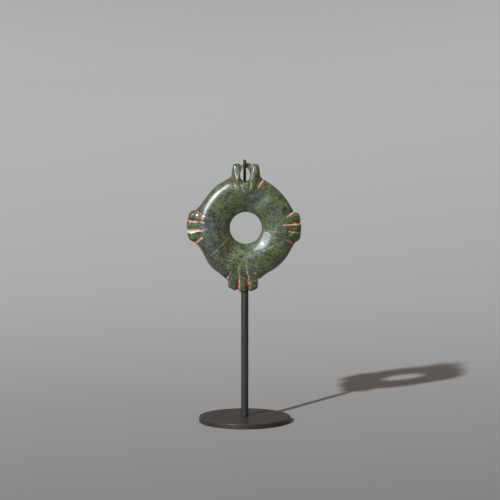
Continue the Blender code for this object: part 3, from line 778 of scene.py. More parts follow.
    def grooves(self, x, z):
        """What all the grooves leave at some points: depth, red earth, its tone and dark lines, with
        painted light and shade in the tone and the lines.
        """
        deepest, painted, tone, lines = (np.zeros(x.shape) for _ in range(4))
        for groove in (groove for lug in LUGS for groove in lug.grooves):
            cut, earth, shade, line = self.one_groove(groove, x, z)
            deepest = np.maximum(deepest, cut)
            tone = np.where(earth > painted, shade, tone)
            painted = np.maximum(painted, earth)
            lines = np.maximum(lines, line)
        return deepest, painted, tone, lines

    def ray_angles(self):
        """Angles of the rays round the ring, closer together at the lugs."""
        fine = np.linspace(0.0, 360.0, FINE_ANGLES)
        crowd = 1.0 + (LUG_CROWDING - 1.0) * sum(
            lug_share(fine, lug._replace(start=lug.start - lug.flank, end=lug.end + lug.flank))
            for lug in LUGS)
        spent = np.concatenate(([0.0], np.cumsum((crowd[1:] + crowd[:-1]) / 2)))
        return np.interp(np.arange(RAYS) / RAYS * spent[-1], spent, fine)

    def grid(self):
        """Points on rays from the leg hole to the outline, with the front's and the back's height."""
        sizes = self.sizes
        rim_angle = self.ray_angles()[:, None]
        rim = self.outline_radius(rim_angle)
        bend = 1.0 - np.cos(np.linspace(0.0, math.pi / 2, ROUNDING_STEPS + 1))
        hole_part = np.tile(self.hole_radius + sizes.leg_hole_rounding * bend, (RAYS, 1))
        rim_part = rim - sizes.rim_rounding * bend[::-1]
        steps = np.linspace(0.0, 1.0, BAND_STEPS + 1)[1:-1]
        band_part = hole_part[:, -1:] + (rim_part[:, :1] - hole_part[:, -1:]) * steps
        radius = np.hstack([hole_part, band_part, rim_part])
        even_angle = np.arange(RAYS)[:, None] * 360.0 / RAYS
        crowded = eased((radius - self.hole_radius) / (self.crest_radius - self.hole_radius))
        angle = even_angle + (rim_angle - even_angle) * crowded
        x, z = on_ring(radius, angle)
        edge = rounding(distance_to_outline(x, z), sizes.rim_rounding)
        edge *= rounding(radius - self.hole_radius, sizes.leg_hole_rounding)
        back_height = self.band_height(radius, angle)
        cut = self.grooves(x, z)[0]
        front = self.front_height(radius, angle) - cut + sizes.grinding * grinding_waves(x, z)
        back = back_height - cut * BACK_CARVING + sizes.grinding * grinding_waves(-z, x)
        least = back_height * LEAST_STONE
        return x, z, np.maximum(front, least) * edge, np.maximum(back, least) * edge


def plain_mesh(name, points, faces):
    """A mesh of the points and faces."""
    mesh = bpy.data.meshes.new(name)
    mesh.from_pydata([tuple(point) for point in points], [], faces)
    mesh.update()
    return mesh


def add_piece(name, data):
    """Link a new object that carries the mesh or curve."""
    piece = bpy.data.objects.new(name, data)
    bpy.context.scene.collection.objects.link(piece)
    return piece


def made_plain(piece):
    """Swap a piece's live modifiers for the mesh that they give, and return the new object."""
    evaluated = piece.evaluated_get(bpy.context.evaluated_depsgraph_get())
    mesh = bpy.data.meshes.new_from_object(evaluated)
    name = piece.name
    bpy.data.objects.remove(piece)
    mesh.name = name
    return add_piece(name, mesh)


def hand_over(piece, slot, *nodes):
    """Let a finished piece ride on the stand's body in the place of its plain solids."""
    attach(piece, BODY)
    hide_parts(*nodes)


class Field:
    """What a node puts out. Operators on fields, or on fields and numbers, add Math nodes."""

    def __init__(self, tree, socket):
        self.tree, self.socket = tree, socket

    def math(self, operation, first, second=0.0):
        return self.tree.node("ShaderNodeMath", {"operation": operation}, {0: first, 1: second})

    def __add__(self, other):
        return self.math("ADD", self, other)

    def __radd__(self, other):
        return self.math("ADD", other, self)

    def __sub__(self, other):
        return self.math("SUBTRACT", self, other)

    def __rsub__(self, other):
        return self.math("SUBTRACT", other, self)

    def __mul__(self, other):
        return self.math("MULTIPLY", self, other)

    def __rmul__(self, other):
        return self.math("MULTIPLY", other, self)

    def __truediv__(self, other):
        return self.math("DIVIDE", self, other)

    def __pow__(self, other):
        return self.math("POWER", self, other)

    def cosine(self):
        return self.math("COSINE", self)

    def sine(self):
        return self.math("SINE", self)

    def absolute(self):
        return self.math("ABSOLUTE", self)


class Tree:
    """Adds nodes to a shader's or a modifier's node tree."""

    def __init__(self, tree):
        self.tree = tree

    def node(self, kind, settings=None, inputs=None, output=0):
        """Add a node, make its settings, then set or link its inputs. Gives one of its outputs."""
        made = self.tree.nodes.new(kind)
        for name, value in (settings or {}).items():
            if name == "stops":
                self.set_stops(made.color_ramp, value)
            else:
                setattr(made, name, value)
        for key, value in (inputs or {}).items():
            if isinstance(value, Field):
                self.tree.links.new(value.socket, made.inputs[key])
            else:
                made.inputs[key].default_value = value
        return Field(self, made.outputs[output])

    def set_stops(self, ramp, stops):
        """Give a ramp its stops, each a place from 0 to 1 and a colour."""
        while len(ramp.elements) > 1:
            ramp.elements.remove(ramp.elements[-1])
        for index, (place, colour) in enumerate(stops):
            element = ramp.elements[0] if index == 0 else ramp.elements.new(place)
            element.position = place
            element.color = (*colour, 1.0)

    def send(self, fields, node):
        """Link fields to the inputs of a node that have their names."""
        for name, field in fields.items():
            self.tree.links.new(field.socket, node.inputs[name])

    def attribute(self, name):
        """A number that is stored at each point of the mesh."""
        return self.node("ShaderNodeAttribute", {"attribute_name": name}, {}, 2)

    def part(self, place, axis):
        """One of a place's three numbers: 0 across, 1 back and 2 up."""
        return self.node("ShaderNodeSeparateXYZ", {}, {0: place}, axis)

    def ramp(self, field, rise):
        """A smooth rise with the field."""
        return self.node("ShaderNodeMapRange", {"interpolation_type": "SMOOTHSTEP"}, {
            0: field, 1: rise.low, 2: rise.high, 3: rise.bottom, 4: rise.top})

    def share(self, field, low, high):
        """0 to 1 as the field goes evenly from `low` to `high`."""
        return self.node("ShaderNodeMapRange", {}, {0: field, 1: low, 2: high, 3: 0.0, 4: 1.0})

    def vector(self, operation, first, second=(0.0, 0.0, 0.0), output=0):
        """Maths on places. It has a place as its output 0 and a number as its output 1."""
        return self.node("ShaderNodeVectorMath", {"operation": operation}, {
            0: first, 1: second}, output)

    def noise(self, place, noise, output=0):
        """Noise at a place. It has a number as its output 0 and a colour as its output 1."""
        moved = self.vector("ADD", place, tuple(noise.seed * share for share in NOISE_WAY))
        return self.node("ShaderNodeTexNoise", {}, {
            "Vector": moved, "Scale": noise.scale, "Detail": noise.detail,
            "Roughness": noise.rough}, output)

    def in_frame(self, place, turn, size, middle=(0.0, 0.0), depth=1.0):
        """The place as a frame in the ring's plane has it that is turned, by radians, and stretched."""
        return self.node("ShaderNodeMapping", {"vector_type": "TEXTURE"}, {
            "Vector": place, "Location": (middle[0], 0.0, middle[1]),
            "Rotation": (0.0, -turn, 0.0), "Scale": (size[0], depth, size[1])})

    def bump(self, relief, strength, depth):
        """Normals of a surface that has the relief."""
        return self.node("ShaderNodeBump", {}, {
            "Strength": strength, "Distance": depth, "Height": relief})

    def blend(self, share, first, second):
        """Mix two colours by a share from 0 to 1."""
        return self.node("ShaderNodeMix", {"data_type": "RGBA"}, {
            0: share, 6: self.colour(first), 7: self.colour(second)}, 2)

    def times(self, first, second):
        """Multiply two colours."""
        return self.node("ShaderNodeMix", {"data_type": "RGBA", "blend_type": "MULTIPLY"}, {
            0: 1.0, 6: self.colour(first), 7: self.colour(second)}, 2)

    def colour(self, value):
        """A colour socket takes four numbers, and a field as it is."""
        return value if isinstance(value, Field) else (*value[:3], 1.0)

    def push(self, place, noise, reach):
        """Move a place about by noise, by up to about `reach` each way."""
        centred = self.vector("SUBTRACT", self.noise(place, noise, 1), (0.5, 0.5, 0.5))
        scaled = self.node("ShaderNodeVectorMath", {"operation": "SCALE"},
                           {0: centred, "Scale": reach * 2})
        return self.vector("ADD", place, scaled)


def new_material(name, constants):
    """A new material's Principled shader, with what stays the same all over it, and its tree."""
    material = bpy.data.materials.new(name)
    material.use_nodes = True
    shader = material.node_tree.nodes["Principled BSDF"]
    for socket, value in constants.items():
        shader.inputs[socket].default_value = value
    return material, shader, Tree(material.node_tree)


def millimetres(tree, origin=Vector()):
    """Places on a piece in millimetres from an origin, which is in metres."""
    return tree.node("ShaderNodeMapping", {}, {
        "Vector": tree.node("ShaderNodeTexCoord", {}, {}, 3),
        "Location": tuple(-origin / MM),
        "Scale": (1 / MM, 1 / MM, 1 / MM)})


def patch_share(tree, place, patch):
    """How much of a patch of colour there is at a place in the ring's plane."""
    centred = tree.in_frame(place, math.radians(patch.turn), (patch.wide, patch.high),
                            (patch.across, patch.up), FLAT)
    return tree.ramp(tree.vector("LENGTH", centred, output=1), PATCH_EDGE._replace(top=patch.strength))


def vein_share(tree, place, vein):
    """How much of a straight pale vein there is at a place in the ring's plane."""
    across, up = vein.end[0] - vein.start[0], vein.end[1] - vein.start[1]
    middle = (vein.start[0] + vein.end[0]) / 2, (vein.start[1] + vein.end[1]) / 2
    centred = tree.in_frame(place, math.atan2(up, across),
                            (math.hypot(across, up) / 2, vein.half_width), middle)
    along = tree.part(centred, 0).absolute()
    beside = tree.part(centred, 2).absolute()
    return tree.ramp(beside, VEIN_EDGE._replace(top=vein.strength)) * tree.ramp(along, VEIN_END)


def stone_colour(tree, place, looks):
    """The mottled stone: clouds of colour and broad patches, three of them painted reflections of the
    inner highlight's haze, then grains, dark specks and pale veins.
    """
    cloudy = tree.push(place, SWIRL, SWIRL_REACH)
    wavering = tree.push(place, WAVER, WAVER_REACH)
    mottle = tree.noise(cloudy, MOTTLE)
    grain = tree.noise(place, GRAIN)
    slanted = tree.in_frame(place, math.radians(FIBRE_TURN), FIBRE_STRETCH)
    colour = tree.blend(tree.ramp(tree.noise(cloudy, CLOUDS), OLIVE_CLOUD), looks.ground, looks.olive)
    colour = tree.blend(tree.ramp(mottle, SLATE_CLOUD), colour, looks.slate)
    for patch in PATCHES:
        colour = tree.blend(patch_share(tree, cloudy, patch), colour, getattr(looks, patch.colour))
    for name, noise, rise in MORE_CLOUDS:
        colour = tree.blend(tree.ramp(tree.noise(cloudy, noise), rise), colour, getattr(looks, name))
    lightness = LEAST_LIGHT + MOTTLE_SHARE * tree.ramp(mottle, MOTTLE_LIGHT)
    for share, field in ((FIBRE_SHARE, tree.noise(slanted, FIBRES)), (GRAIN_SHARE, grain),
                         (FINE_SHARE, tree.noise(slanted, FINE_FIBRES))):
        lightness = lightness + share * (field - 0.5)
    colour = tree.times(colour, tree.node("ShaderNodeCombineColor", {}, {
        0: lightness, 1: lightness, 2: lightness}))
    flecks = tree.ramp(tree.noise(place, FLECKS), DARK_FLECK)
    clusters = tree.ramp(tree.noise(cloudy, FLECK_CLUSTERS), FLECK_CLUSTER)
    colour = tree.blend(flecks * clusters, colour, looks.dark)
    colour = tree.blend(tree.ramp(tree.noise(place, PALE_GRAINS), PALE_GRAIN), colour, looks.pale)
    for turn, seed in SCUFF_TURNS:
        drawn_out = tree.in_frame(wavering, math.radians(turn), SCUFF_STRETCH)
        scuffs = tree.ramp(tree.noise(drawn_out, SCUFFS._replace(seed=seed)), SCUFF_EDGE)
        colour = tree.blend(scuffs, colour, looks.pale)
    broken = tree.ramp(tree.noise(place, VEIN_BREAKS), VEIN_BREAK)
    for vein in VEINS:
        share = vein_share(tree, wavering, vein) * broken
        colour = tree.blend(share, colour, getattr(looks, vein.colour))
    return colour, mottle, grain, slanted


def tone_colour(tree, value, tones):
    """The colour that a value stands for, between the tones that are given."""
    low, high = tones[0][0], tones[-1][0]
    stops = [((tone - low) / (high - low), tuple(colour)) for tone, colour in tones]
    return tree.node("ShaderNodeValToRGB", {"stops": stops}, {0: tree.share(value, low, high)})


def earth_colour(tree, place, looks):
    """The red earth's colour, by its tone and with some unevenness."""
    toned = tree.attribute("earth_tone") + TONE_VARIES * (tree.noise(place, EARTH_CRUMBS) - 0.5)
    return tone_colour(tree, toned, [(tone, getattr(looks, name)) for tone, name in EARTH_TONES])


def greenstone(looks, form):
    """Polished, mottled nephrite with dusty red earth left in its grooves, and painted light and shade
    on the grooves' sides, along the outline and in a few patches.
    """
    material, shader, tree = new_material("greenstone", STONE_SHADER)
    place = millimetres(tree, form.centre)
    colour, mottle, grain, slanted = stone_colour(tree, place, looks)
    patchy = tree.noise(place, EARTH_PATCHES)
    # Dark lines in the darkest brown: painted shade along the outline, and along the grooves' flanks,
    # stronger on their shaded side.
    lines = tree.ramp(tree.attribute("dark_lines") + LINES_VARY * (patchy - 0.5), DARK_SHADE_LINE)
    colour = tree.blend(lines, colour, looks.dirt_and_shade_brown)
    earth = tree.ramp(tree.attribute("red_earth") + EARTH_VARIES * (patchy - 0.5), EARTH_EDGE)
    colour = tree.blend(earth * EARTH_COVER, colour, earth_colour(tree, place, looks))
    from_middle = tree.vector("LENGTH", tree.vector("MULTIPLY", place, (1.0, 0.0, 1.0)), output=1)
    inside = tree.ramp(from_middle, DULLED)
    polish = (1.0 - earth * EARTH_DULLS) * (1.0 - patch_share(tree, place, CORD_WEAR))
    polish = polish * (1.0 - (1.0 - INNER_POLISH) * inside)
    rough = STONE_ROUGH + INNER_ROUGH * inside + MOTTLE_ROUGH * (mottle - 0.5) + EARTH_ROUGH * earth
    scratches = tree.noise(slanted, SCRATCHES)
    relief = grain + SCRATCH_RELIEF * scratches + EARTH_RELIEF * earth * patchy
    tree.send({"Base Color": colour, "Roughness": rough, "Coat Weight": polish,
               "Normal": tree.bump(relief, *STONE_BUMP)}, shader)
    return material


def black_lacquer(looks, name, dusty):
    """Satin black lacquer on metal. `dusty` is how brown and dusty it is; on the foot the brown is also
    painted warm reflection.
    """
    material, shader, tree = new_material(name, LACQUER_SHADER)
    place = millimetres(tree)
    cloud = tree.noise(place, LACQUER_CLOUDS)
    speckle = tree.noise(place, LACQUER_SPECKLE)
    dust = tree.ramp(tree.noise(place, LACQUER_DUST),
                     DUST_GRAIN._replace(top=LEAST_DUST + MORE_DUST * dusty))
    # The brown tint is dust and painted warm reflection.
    brown = tuple(part * tint for part, tint in zip(looks.lacquer, DUST_AND_SHEEN_TINT))
    clouded = tree.ramp(cloud, LACQUER_CLOUD._replace(bottom=LEAST_CLOUDED * dusty, top=dusty))
    colour = tree.blend(dust, tree.blend(clouded, looks.lacquer, brown), DUST_COLOUR)
    rough = LACQUER_ROUGH + CLOUD_ROUGH * (cloud - 0.5) + SPECKLE_ROUGH * (speckle - 0.5)
    tree.send({"Base Color": colour, "Roughness": rough,
               "Normal": tree.bump(speckle, *LACQUER_BUMP)}, shader)
    return material


def floor_with_painted_light(looks):
    """Pale paper with painted light: darker at the front, lighter towards the back, and darker again
    where it curves up.
    """
    material, shader, tree = new_material("plain_floor", FLOOR_SHADER)
    back = tree.part(tree.node("ShaderNodeTexCoord", {}, {}, 3), 1)
    tree.send({"Base Color": tree.times(tone_colour(tree, back, FLOOR_PAINTED_LIGHT), looks.floor)}, shader)
    return material


def joined_rows(rows, sides, first=0, closed=False):
    """Faces that join rows of points, each closed on itself. `first` is the number of their first
    point, and a closed form's last row joins its first."""
    faces = []
    for row in range(rows if closed else rows - 1):
        start, end = first + row * sides, first + (row + 1) % rows * sides
        for side in range(sides):
            beside = (side + 1) % sides
            faces.append((start + side, end + side, end + beside, start + beside))
    return faces


def ring_body(form):
    """The carved ring before it is pierced: both faces of the grid, joined at the hole and the rim."""
    x, z, front, back = form.grid()
    faces_x = np.hstack([x, x[:, -2:0:-1]]) + form.centre.x
    faces_y = np.hstack([-front, back[:, -2:0:-1]])
    faces_z = np.hstack([z, z[:, -2:0:-1]]) + form.centre.z
    points = np.stack([faces_x, faces_y, faces_z], axis=2).reshape(-1, 3)
    return plain_mesh("parrot_leg_ring_form", points.tolist(), joined_rows(*faces_x.shape, closed=True))


def cord_hole_outline(form):
    """The egg-shaped outline of the cord hole, from +X round, with its outward directions."""
    sizes = form.sizes
    turn = np.arange(CORD_HOLE_SIDES) * 2 * math.pi / CORD_HOLE_SIDES
    level = np.sin(turn)
    x = sizes.cord_hole_width / 2 * np.cos(turn) * (1.0 - CORD_HOLE_TAPER * level)
    z = sizes.cord_hole_height / 2 * level
    along_x = np.roll(x, -1) - np.roll(x, 1)
    along_z = np.roll(z, -1) - np.roll(z, 1)
    length = np.hypot(along_x, along_z)
    return x, z, along_z / length, -along_x / length


def cord_hole_levels(form, face):
    """How far the cord hole widens at some depths, from the middle of the lug out past a face."""
    sizes = form.sizes
    straight = face * LIP_START
    lip_depth = face - straight
    levels = []
    for share in np.linspace(0.0, LIP_END, LIP_LEVELS):
        levels.append((straight + lip_depth * share,
                       sizes.cord_hole_lip * (1.0 - math.sqrt(1.0 - share * share))))
    depth, widening = levels[-1]
    levels.append((sizes.thickness, widening + (sizes.thickness - depth) * LIP_SLOPE))
    return levels


def cord_hole_cutter(form):
    """An egg-shaped bar that flares at both faces, so that the hole's lips come out rounded."""
    x, z, out_x, out_z = cord_hole_outline(form)
    forward = cord_hole_levels(form, float(form.front_height(form.cord_middle, TOP_ANGLE)))
    backward = cord_hole_levels(form, float(form.band_height(form.cord_middle, TOP_ANGLE)))
    levels = [(-depth, widening) for depth, widening in reversed(forward)] + backward
    middle_x = form.centre.x + form.sizes.cord_hole_shift
    middle_z = form.centre.z + form.cord_middle
    points = []
    for depth, widening in levels:
        for side in range(CORD_HOLE_SIDES):
            points.append((middle_x + x[side] + out_x[side] * widening, depth,
                           middle_z + z[side] + out_z[side] * widening))
    last = (len(levels) - 1) * CORD_HOLE_SIDES
    faces = [tuple(range(CORD_HOLE_SIDES)), *joined_rows(len(levels), CORD_HOLE_SIDES),
             tuple(range(last + CORD_HOLE_SIDES - 1, last - 1, -1))]
    return add_piece("cord_hole_cutter", plain_mesh("cord_hole_cutter", points, faces))


def pierced(piece, cutter):
    """Cut the cord hole, and return the ring as a plain mesh."""
    cut = piece.modifiers.new("cord hole", "BOOLEAN")
    cut.operation = "DIFFERENCE"
    cut.solver = "EXACT"
    cut.object = cutter
    ring = made_plain(piece)
    bpy.data.objects.remove(cutter)
    return ring


def smear_share(x, z, smear):
    """How much red earth one smear leaves at some points."""
    across = (x - smear.across * MM) / (smear.wide * MM)
    up = (z - smear.up * MM) / (smear.high * MM)
    return smear.strength * (1.0 - eased(np.hypot(across, up)))


def mark_red_earth(mesh, form):
    """Store at each point how much red earth lies there, its tone, and the dark lines. Two of the
    smears are painted glints, the tone is painted paler on each groove's lit side and darker on its
    shaded side, and the dark lines are painted shade along the outline and painted stronger on each
    groove's shaded side.
    """
    places = np.zeros(len(mesh.vertices) * 3, np.float32)
    mesh.vertices.foreach_get("co", places)
    places = places.reshape(-1, 3)
    x, z = places[:, 0] - form.centre.x, places[:, 2] - form.centre.z
    painted, tone, lines = form.grooves(x, z)[1:]
    for smear in SMEARS:
        share = smear_share(x, z, smear)
        tone = np.where(share > painted, smear.tone, tone)
        painted = np.maximum(painted, share)
    painted = np.where(places[:, 1] > 0.0, painted * BACK_CARVING, painted)
    # Painted shade: a dark line along the ring's outline.
    gap = form.outline_radius(np.degrees(np.arctan2(z, x))) - np.hypot(x, z)
    lines = np.maximum(lines, 1.0 - eased(gap / PAINTED_RIM_SHADE))
    for name, values in (("red_earth", painted), ("earth_tone", tone), ("dark_lines", lines)):
        layer = mesh.attributes.new(name, "FLOAT", "POINT")
        layer.data.foreach_set("value", values.astype(np.float32))


class GeometryTree(Tree):
    """A Geometry Nodes tree with named inputs."""

    def __init__(self, name, inputs):
        group = bpy.data.node_groups.new(name, "GeometryNodeTree")
        super().__init__(group)
        group.interface.new_socket("Geometry", in_out="INPUT", socket_type="NodeSocketGeometry")
        group.interface.new_socket("Geometry", in_out="OUTPUT", socket_type="NodeSocketGeometry")
        for label, kind in inputs.items():
            group.interface.new_socket(label, in_out="INPUT", socket_type="NodeSocket" + kind)
        self.inputs = group.nodes.new("NodeGroupInput").outputs

    def given(self, label):
        """The tree's input of that name."""
        return Field(self, self.inputs[label])

    def end_with(self, geometry):
        """Realise the result, give it its material and send it out."""
        whole = self.node("GeometryNodeRealizeInstances", {}, {"Geometry": geometry})
        shaded = self.node("GeometryNodeSetShadeSmooth", {}, {"Geometry": whole})
        finished = self.node("GeometryNodeSetMaterial", {}, {
            "Geometry": shaded, "Material": self.given("Finish")})
        output = self.tree.nodes.new("NodeGroupOutput")
        self.tree.links.new(finished.socket, output.inputs["Geometry"])
        return self.tree


def turned_tree():
    """A round, solid piece with rounded edges: a grid bent round the Z axis."""
    tree = GeometryTree("turned_piece", {
        "Radius": "Float", "Foot": "Float", "Top": "Float", "Edge": "Float",
        "Sides": "Int", "Steps": "Int", "Finish": "Material"})
    grid = tree.node("GeometryNodeMeshGrid", {}, {
        "Vertices X": tree.given("Steps") + 1, "Vertices Y": tree.given("Sides") + 1})
    place = tree.node("GeometryNodeInputPosition")
    down = tree.part(place, 0) + 0.5
    turn = (tree.part(place, 1) + 0.5) * (2 * math.pi)
    top_run = tree.share(down, 0.0, FACE_END)
    upper_bend = tree.share(down, FACE_END, BEND_END)
    side = tree.share(down, BEND_END, 1.0 - BEND_END)
    lower_bend = tree.share(down, 1.0 - BEND_END, 1.0 - FACE_END)
    foot_run = tree.share(down, 1.0, 1.0 - FACE_END)
    run = (1 - (1 - top_run) ** 2) * (1 - (1 - foot_run) ** 2)
    lean = (1 - upper_bend - lower_bend) * (math.pi / 2)
    edge, foot, top = tree.given("Edge"), tree.given("Foot"), tree.given("Top")
    radius = (tree.given("Radius") - edge) * run + edge * lean.cosine()
    height = foot + edge + (top - foot - 2 * edge) * (1 - side) + edge * lean.sine()
    spot = tree.node("ShaderNodeCombineXYZ", {}, {
        0: radius * turn.cosine(), 1: radius * turn.sine(), 2: height})
    bent = tree.node("GeometryNodeSetPosition", {}, {"Geometry": grid, "Position": spot})
    return tree.end_with(tree.node("GeometryNodeMergeByDistance", {}, {
        "Geometry": bent, "Distance": MERGE_DISTANCE}))


def swept_tree():
    """A round wire swept along the curve that it is given, as thick as each point's radius says."""
    tree = GeometryTree("swept_wire", {"Diameter": "Float", "Sides": "Int", "Finish": "Material"})
    profile = tree.node("GeometryNodeCurvePrimitiveCircle", {"mode": "RADIUS"}, {
        "Resolution": tree.given("Sides"), "Radius": tree.given("Diameter") / 2})
    wire = tree.node("GeometryNodeCurveToMesh", {}, {
        "Curve": tree.given("Geometry"), "Profile Curve": profile,
        "Scale": tree.node("GeometryNodeInputRadius"), "Fill Caps": True})
    return tree.end_with(wire)


def made_by(group, name, data, values):
    """Run a Geometry Nodes tree on a new object, and return its result as a plain mesh."""
    host = add_piece(name, data)
    modifier = host.modifiers.new(group.name, "NODES")
    modifier.node_group = group
    for item in group.interface.items_tree:
        if item.in_out == "INPUT" and item.name in values:
            modifier[item.identifier] = values[item.name]
    piece = made_plain(host)
    piece.data.set_sharp_from_angle(angle=math.radians(SHARP_DEGREES))
    return piece


def bend_points(centre, radius, start_degrees, end_degrees):
    """Points of a bend in the plane x = 0, given the middle of the bend as (y, z)."""
    points = []
    for step in range(BEND_STEPS + 1):
        turn = math.radians(start_degrees + (end_degrees - start_degrees) * step / BEND_STEPS)
        points.append(Vector((0.0, centre[0] + radius * math.cos(turn),
                              centre[1] + radius * math.sin(turn))))
    return points


def behind_ring(form, stand, radius, angle):
    """How far back the wire's middle line stays clear of the ring."""
    reach = stand.wire_diameter / 2 + SOLID_GAP
    beside = np.linspace(radius - reach, radius + reach, ACROSS_WIRE)
    return float(form.band_height(beside, angle).max()) + reach


def route_behind_ring(form, stand, foot_radius, head_radius):
    """The stretch that leaves the lowest lug, goes round the leg hole and comes up to the cord hole."""
    centre, crest = form.centre, form.crest_radius
    foot_angle = FOOT_ANGLE + math.degrees((stand.brazed_aside - centre.x) / foot_radius)
    head_angle = TOP_ANGLE + 360.0 + math.degrees(centre.x / head_radius)
    stretch = []
    for station in range(ROUTE_STATIONS + 1):
        share = station / ROUTE_STATIONS
        angle = foot_angle + (head_angle - foot_angle) * float(eased(share))
        leaving = max(0.0, 1.0 - share / ROUTE_TURN) ** 2
        arriving = max(0.0, 1.0 - (1.0 - share) / ROUTE_TURN) ** 2
        radius = crest + (foot_radius - crest) * leaving + (head_radius - crest) * arriving
        x, z = on_ring(radius, angle)
        stretch.append(Vector((centre.x + x, behind_ring(form, stand, radius, angle), centre.z + z)))
    return stretch


def hook_route(form, stand):
    """The wire's middle line: up behind the post, round the leg hole behind the ring, then forward
    through the cord hole and up in front of the top lug."""
    wire_radius = stand.wire_diameter / 2
    aside = stand.brazed_aside
    behind_post = math.sqrt((stand.post_diameter / 2 + wire_radius) ** 2 - aside ** 2)
    behind_foot = behind_ring(form, stand, form.sizes.body_radius, FOOT_ANGLE)
    post_top = POST_HIGH.z
    route = [
        Vector((aside, behind_post, post_top - stand.brazed_length)),
        Vector((aside, behind_post, post_top - stand.brazed_length / 2)),
        Vector((aside, max(behind_post, behind_foot), post_top + stand.wire_diameter)),
    ]
    hole_foot = form.cord_middle - form.sizes.cord_hole_height / 2
    route += route_behind_ring(form, stand, form.sizes.body_radius, hole_foot)
    under_bridge = form.centre.z + form.cord_top - wire_radius
    bend = stand.hook_bend
    behind_hole = behind_ring(form, stand, form.cord_middle, TOP_ANGLE)
    before_bridge = behind_ring(form, stand, form.cord_top, TOP_ANGLE)
    route += bend_points((behind_hole - bend, under_bridge - bend), bend, 0.0, 90.0)
    route += bend_points((-before_bridge + bend, under_bridge + bend), bend, -90.0, -180.0)
    route.append(Vector((0.0, -before_bridge, HOOK_TOP)))
    return route


def smooth_route(route, spacing):
    """Points along a smooth curve through the route's own points, about evenly spaced."""
    points = []
    ends = [2 * route[0] - route[1]] + route + [2 * route[-1] - route[-2]]
    for before, start, end, after in zip(ends, ends[1:], ends[2:], ends[3:]):
        span = (end - start).length
        leave = (end - before) * (span / ((end - start).length + (start - before).length))
        arrive = (after - start) * (span / ((after - end).length + (end - start).length))
        steps = max(1, round(span / spacing))
        for step in range(steps):
            t = step / steps
            points.append(start * (2 * t ** 3 - 3 * t ** 2 + 1) + leave * (t ** 3 - 2 * t ** 2 + t)
                          + end * (3 * t ** 2 - 2 * t ** 3) + arrive * (t ** 3 - t ** 2))
    points.append(route[-1])
    return points


def trimmed_ends(points, chamfer, radius):
    """Places and radii along a wire that is cut off flat, with its two edges just broken."""
    first = points[0] + (points[1] - points[0]).normalized() * chamfer
    last = points[-1] + (points[-2] - points[-1]).normalized() * chamfer
    places = [points[0], first] + points[1:-1] + [last, points[-1]]
    radii = [1.0] * len(places)
    radii[0] = radii[-1] = 1.0 - chamfer / radius
    return places, radii


def braze_bead(form, stand):
    """The seam of braze that joins the wire to the post, thinner towards both its ends."""
    top = POST_HIGH.z - BEAD_CLEAR * MM
    foot = POST_HIGH.z - stand.brazed_length + BEAD_CLEAR * MM
    middle_line = stand.post_diameter / (stand.post_diameter + stand.wire_diameter)
    x = stand.brazed_aside * middle_line
    y = math.sqrt((stand.post_diameter / 2) ** 2 - x * x)
    places, radii = [], []
    for step in range(BEAD_STEPS + 1):
        share = step / BEAD_STEPS
        places.append(Vector((x, y, foot + (top - foot) * share)))
        swelling = 1.0 + sum(height * math.sin(turn * share) for height, turn in BEAD_RIPPLES)
        radii.append(BEAD_SHARE * math.sqrt(max(BEAD_END, 4 * share * (1 - share))) * swelling)
    return places, radii


def add_spline(curve, places, radii):
    """Add a straight-sided spline through the places."""
    spline = curve.splines.new("POLY")
    spline.points.add(len(places) - 1)
    for point, place, radius in zip(spline.points, places, radii):
        point.co = (*place, 1.0)
        point.radius = radius


def floor_mesh():
    """A wide round floor that curves up into a low wall all round."""
    profile = [(FLOOR_RADIUS * (step / FLOOR_STEPS) ** 2, 0.0) for step in range(1, FLOOR_STEPS + 1)]
    for step in range(1, COVE_STEPS + 1):
        turn = math.pi / 2 * step / COVE_STEPS
        profile.append((FLOOR_RADIUS + COVE_RADIUS * math.sin(turn),
                        COVE_RADIUS * (1 - math.cos(turn))))
    points = [(0.0, 0.0, 0.0)]
    for radius, height in profile:
        for side in range(FLOOR_SIDES):
            turn = 2 * math.pi * side / FLOOR_SIDES
            points.append((radius * math.cos(turn), radius * math.sin(turn), height))
    faces = [(0, 1 + side, 1 + (side + 1) % FLOOR_SIDES) for side in range(FLOOR_SIDES)]
    mesh = plain_mesh("floor", points, faces + joined_rows(len(profile), FLOOR_SIDES, first=1))
    mesh.shade_smooth()
    return mesh


def from_the_ring(left_degrees, up_degrees, distance):
    """A place seen from the ring's middle, to the left of the camera's side and up."""
    left, up = math.radians(left_degrees), math.radians(up_degrees)
    way = Vector((-math.cos(up) * math.sin(left), -math.cos(up) * math.cos(left), math.sin(up)))
    return RING_MIDDLE + way * distance


def aim(thing, target):
    """Turn a light or the camera so that it looks at the target."""
    thing.rotation_euler = (target - thing.location).to_track_quat("-Z", "Y").to_euler()


def add_lamp(name, shape, watts, size, place):
    """An area light of the key's colour that shines at the ring."""
    lamp = bpy.data.lights.new(name, "AREA")
    lamp.shape = shape
    lamp.size, lamp.size_y = size
    lamp.energy = watts
    lamp.color = KEY_COLOUR
    piece = add_piece(name, lamp)
    piece.location = from_the_ring(*place)
    aim(piece, RING_MIDDLE)
    return piece


def room_light(looks):
    """Soft light from all round, stronger overhead."""
    world = bpy.data.worlds.new("room")
    world.use_nodes = True
    room = world.node_tree.nodes["Background"]
    room.inputs["Color"].default_value = (*ROOM_COLOUR, 1.0)
    tree = Tree(world.node_tree)
    height = tree.ramp(tree.part(tree.node("ShaderNodeTexCoord"), 2), OVERHEAD)
    tree.send({"Strength": looks.room * (ROOM_LOW + ROOM_RISE * height)}, room)
    return world


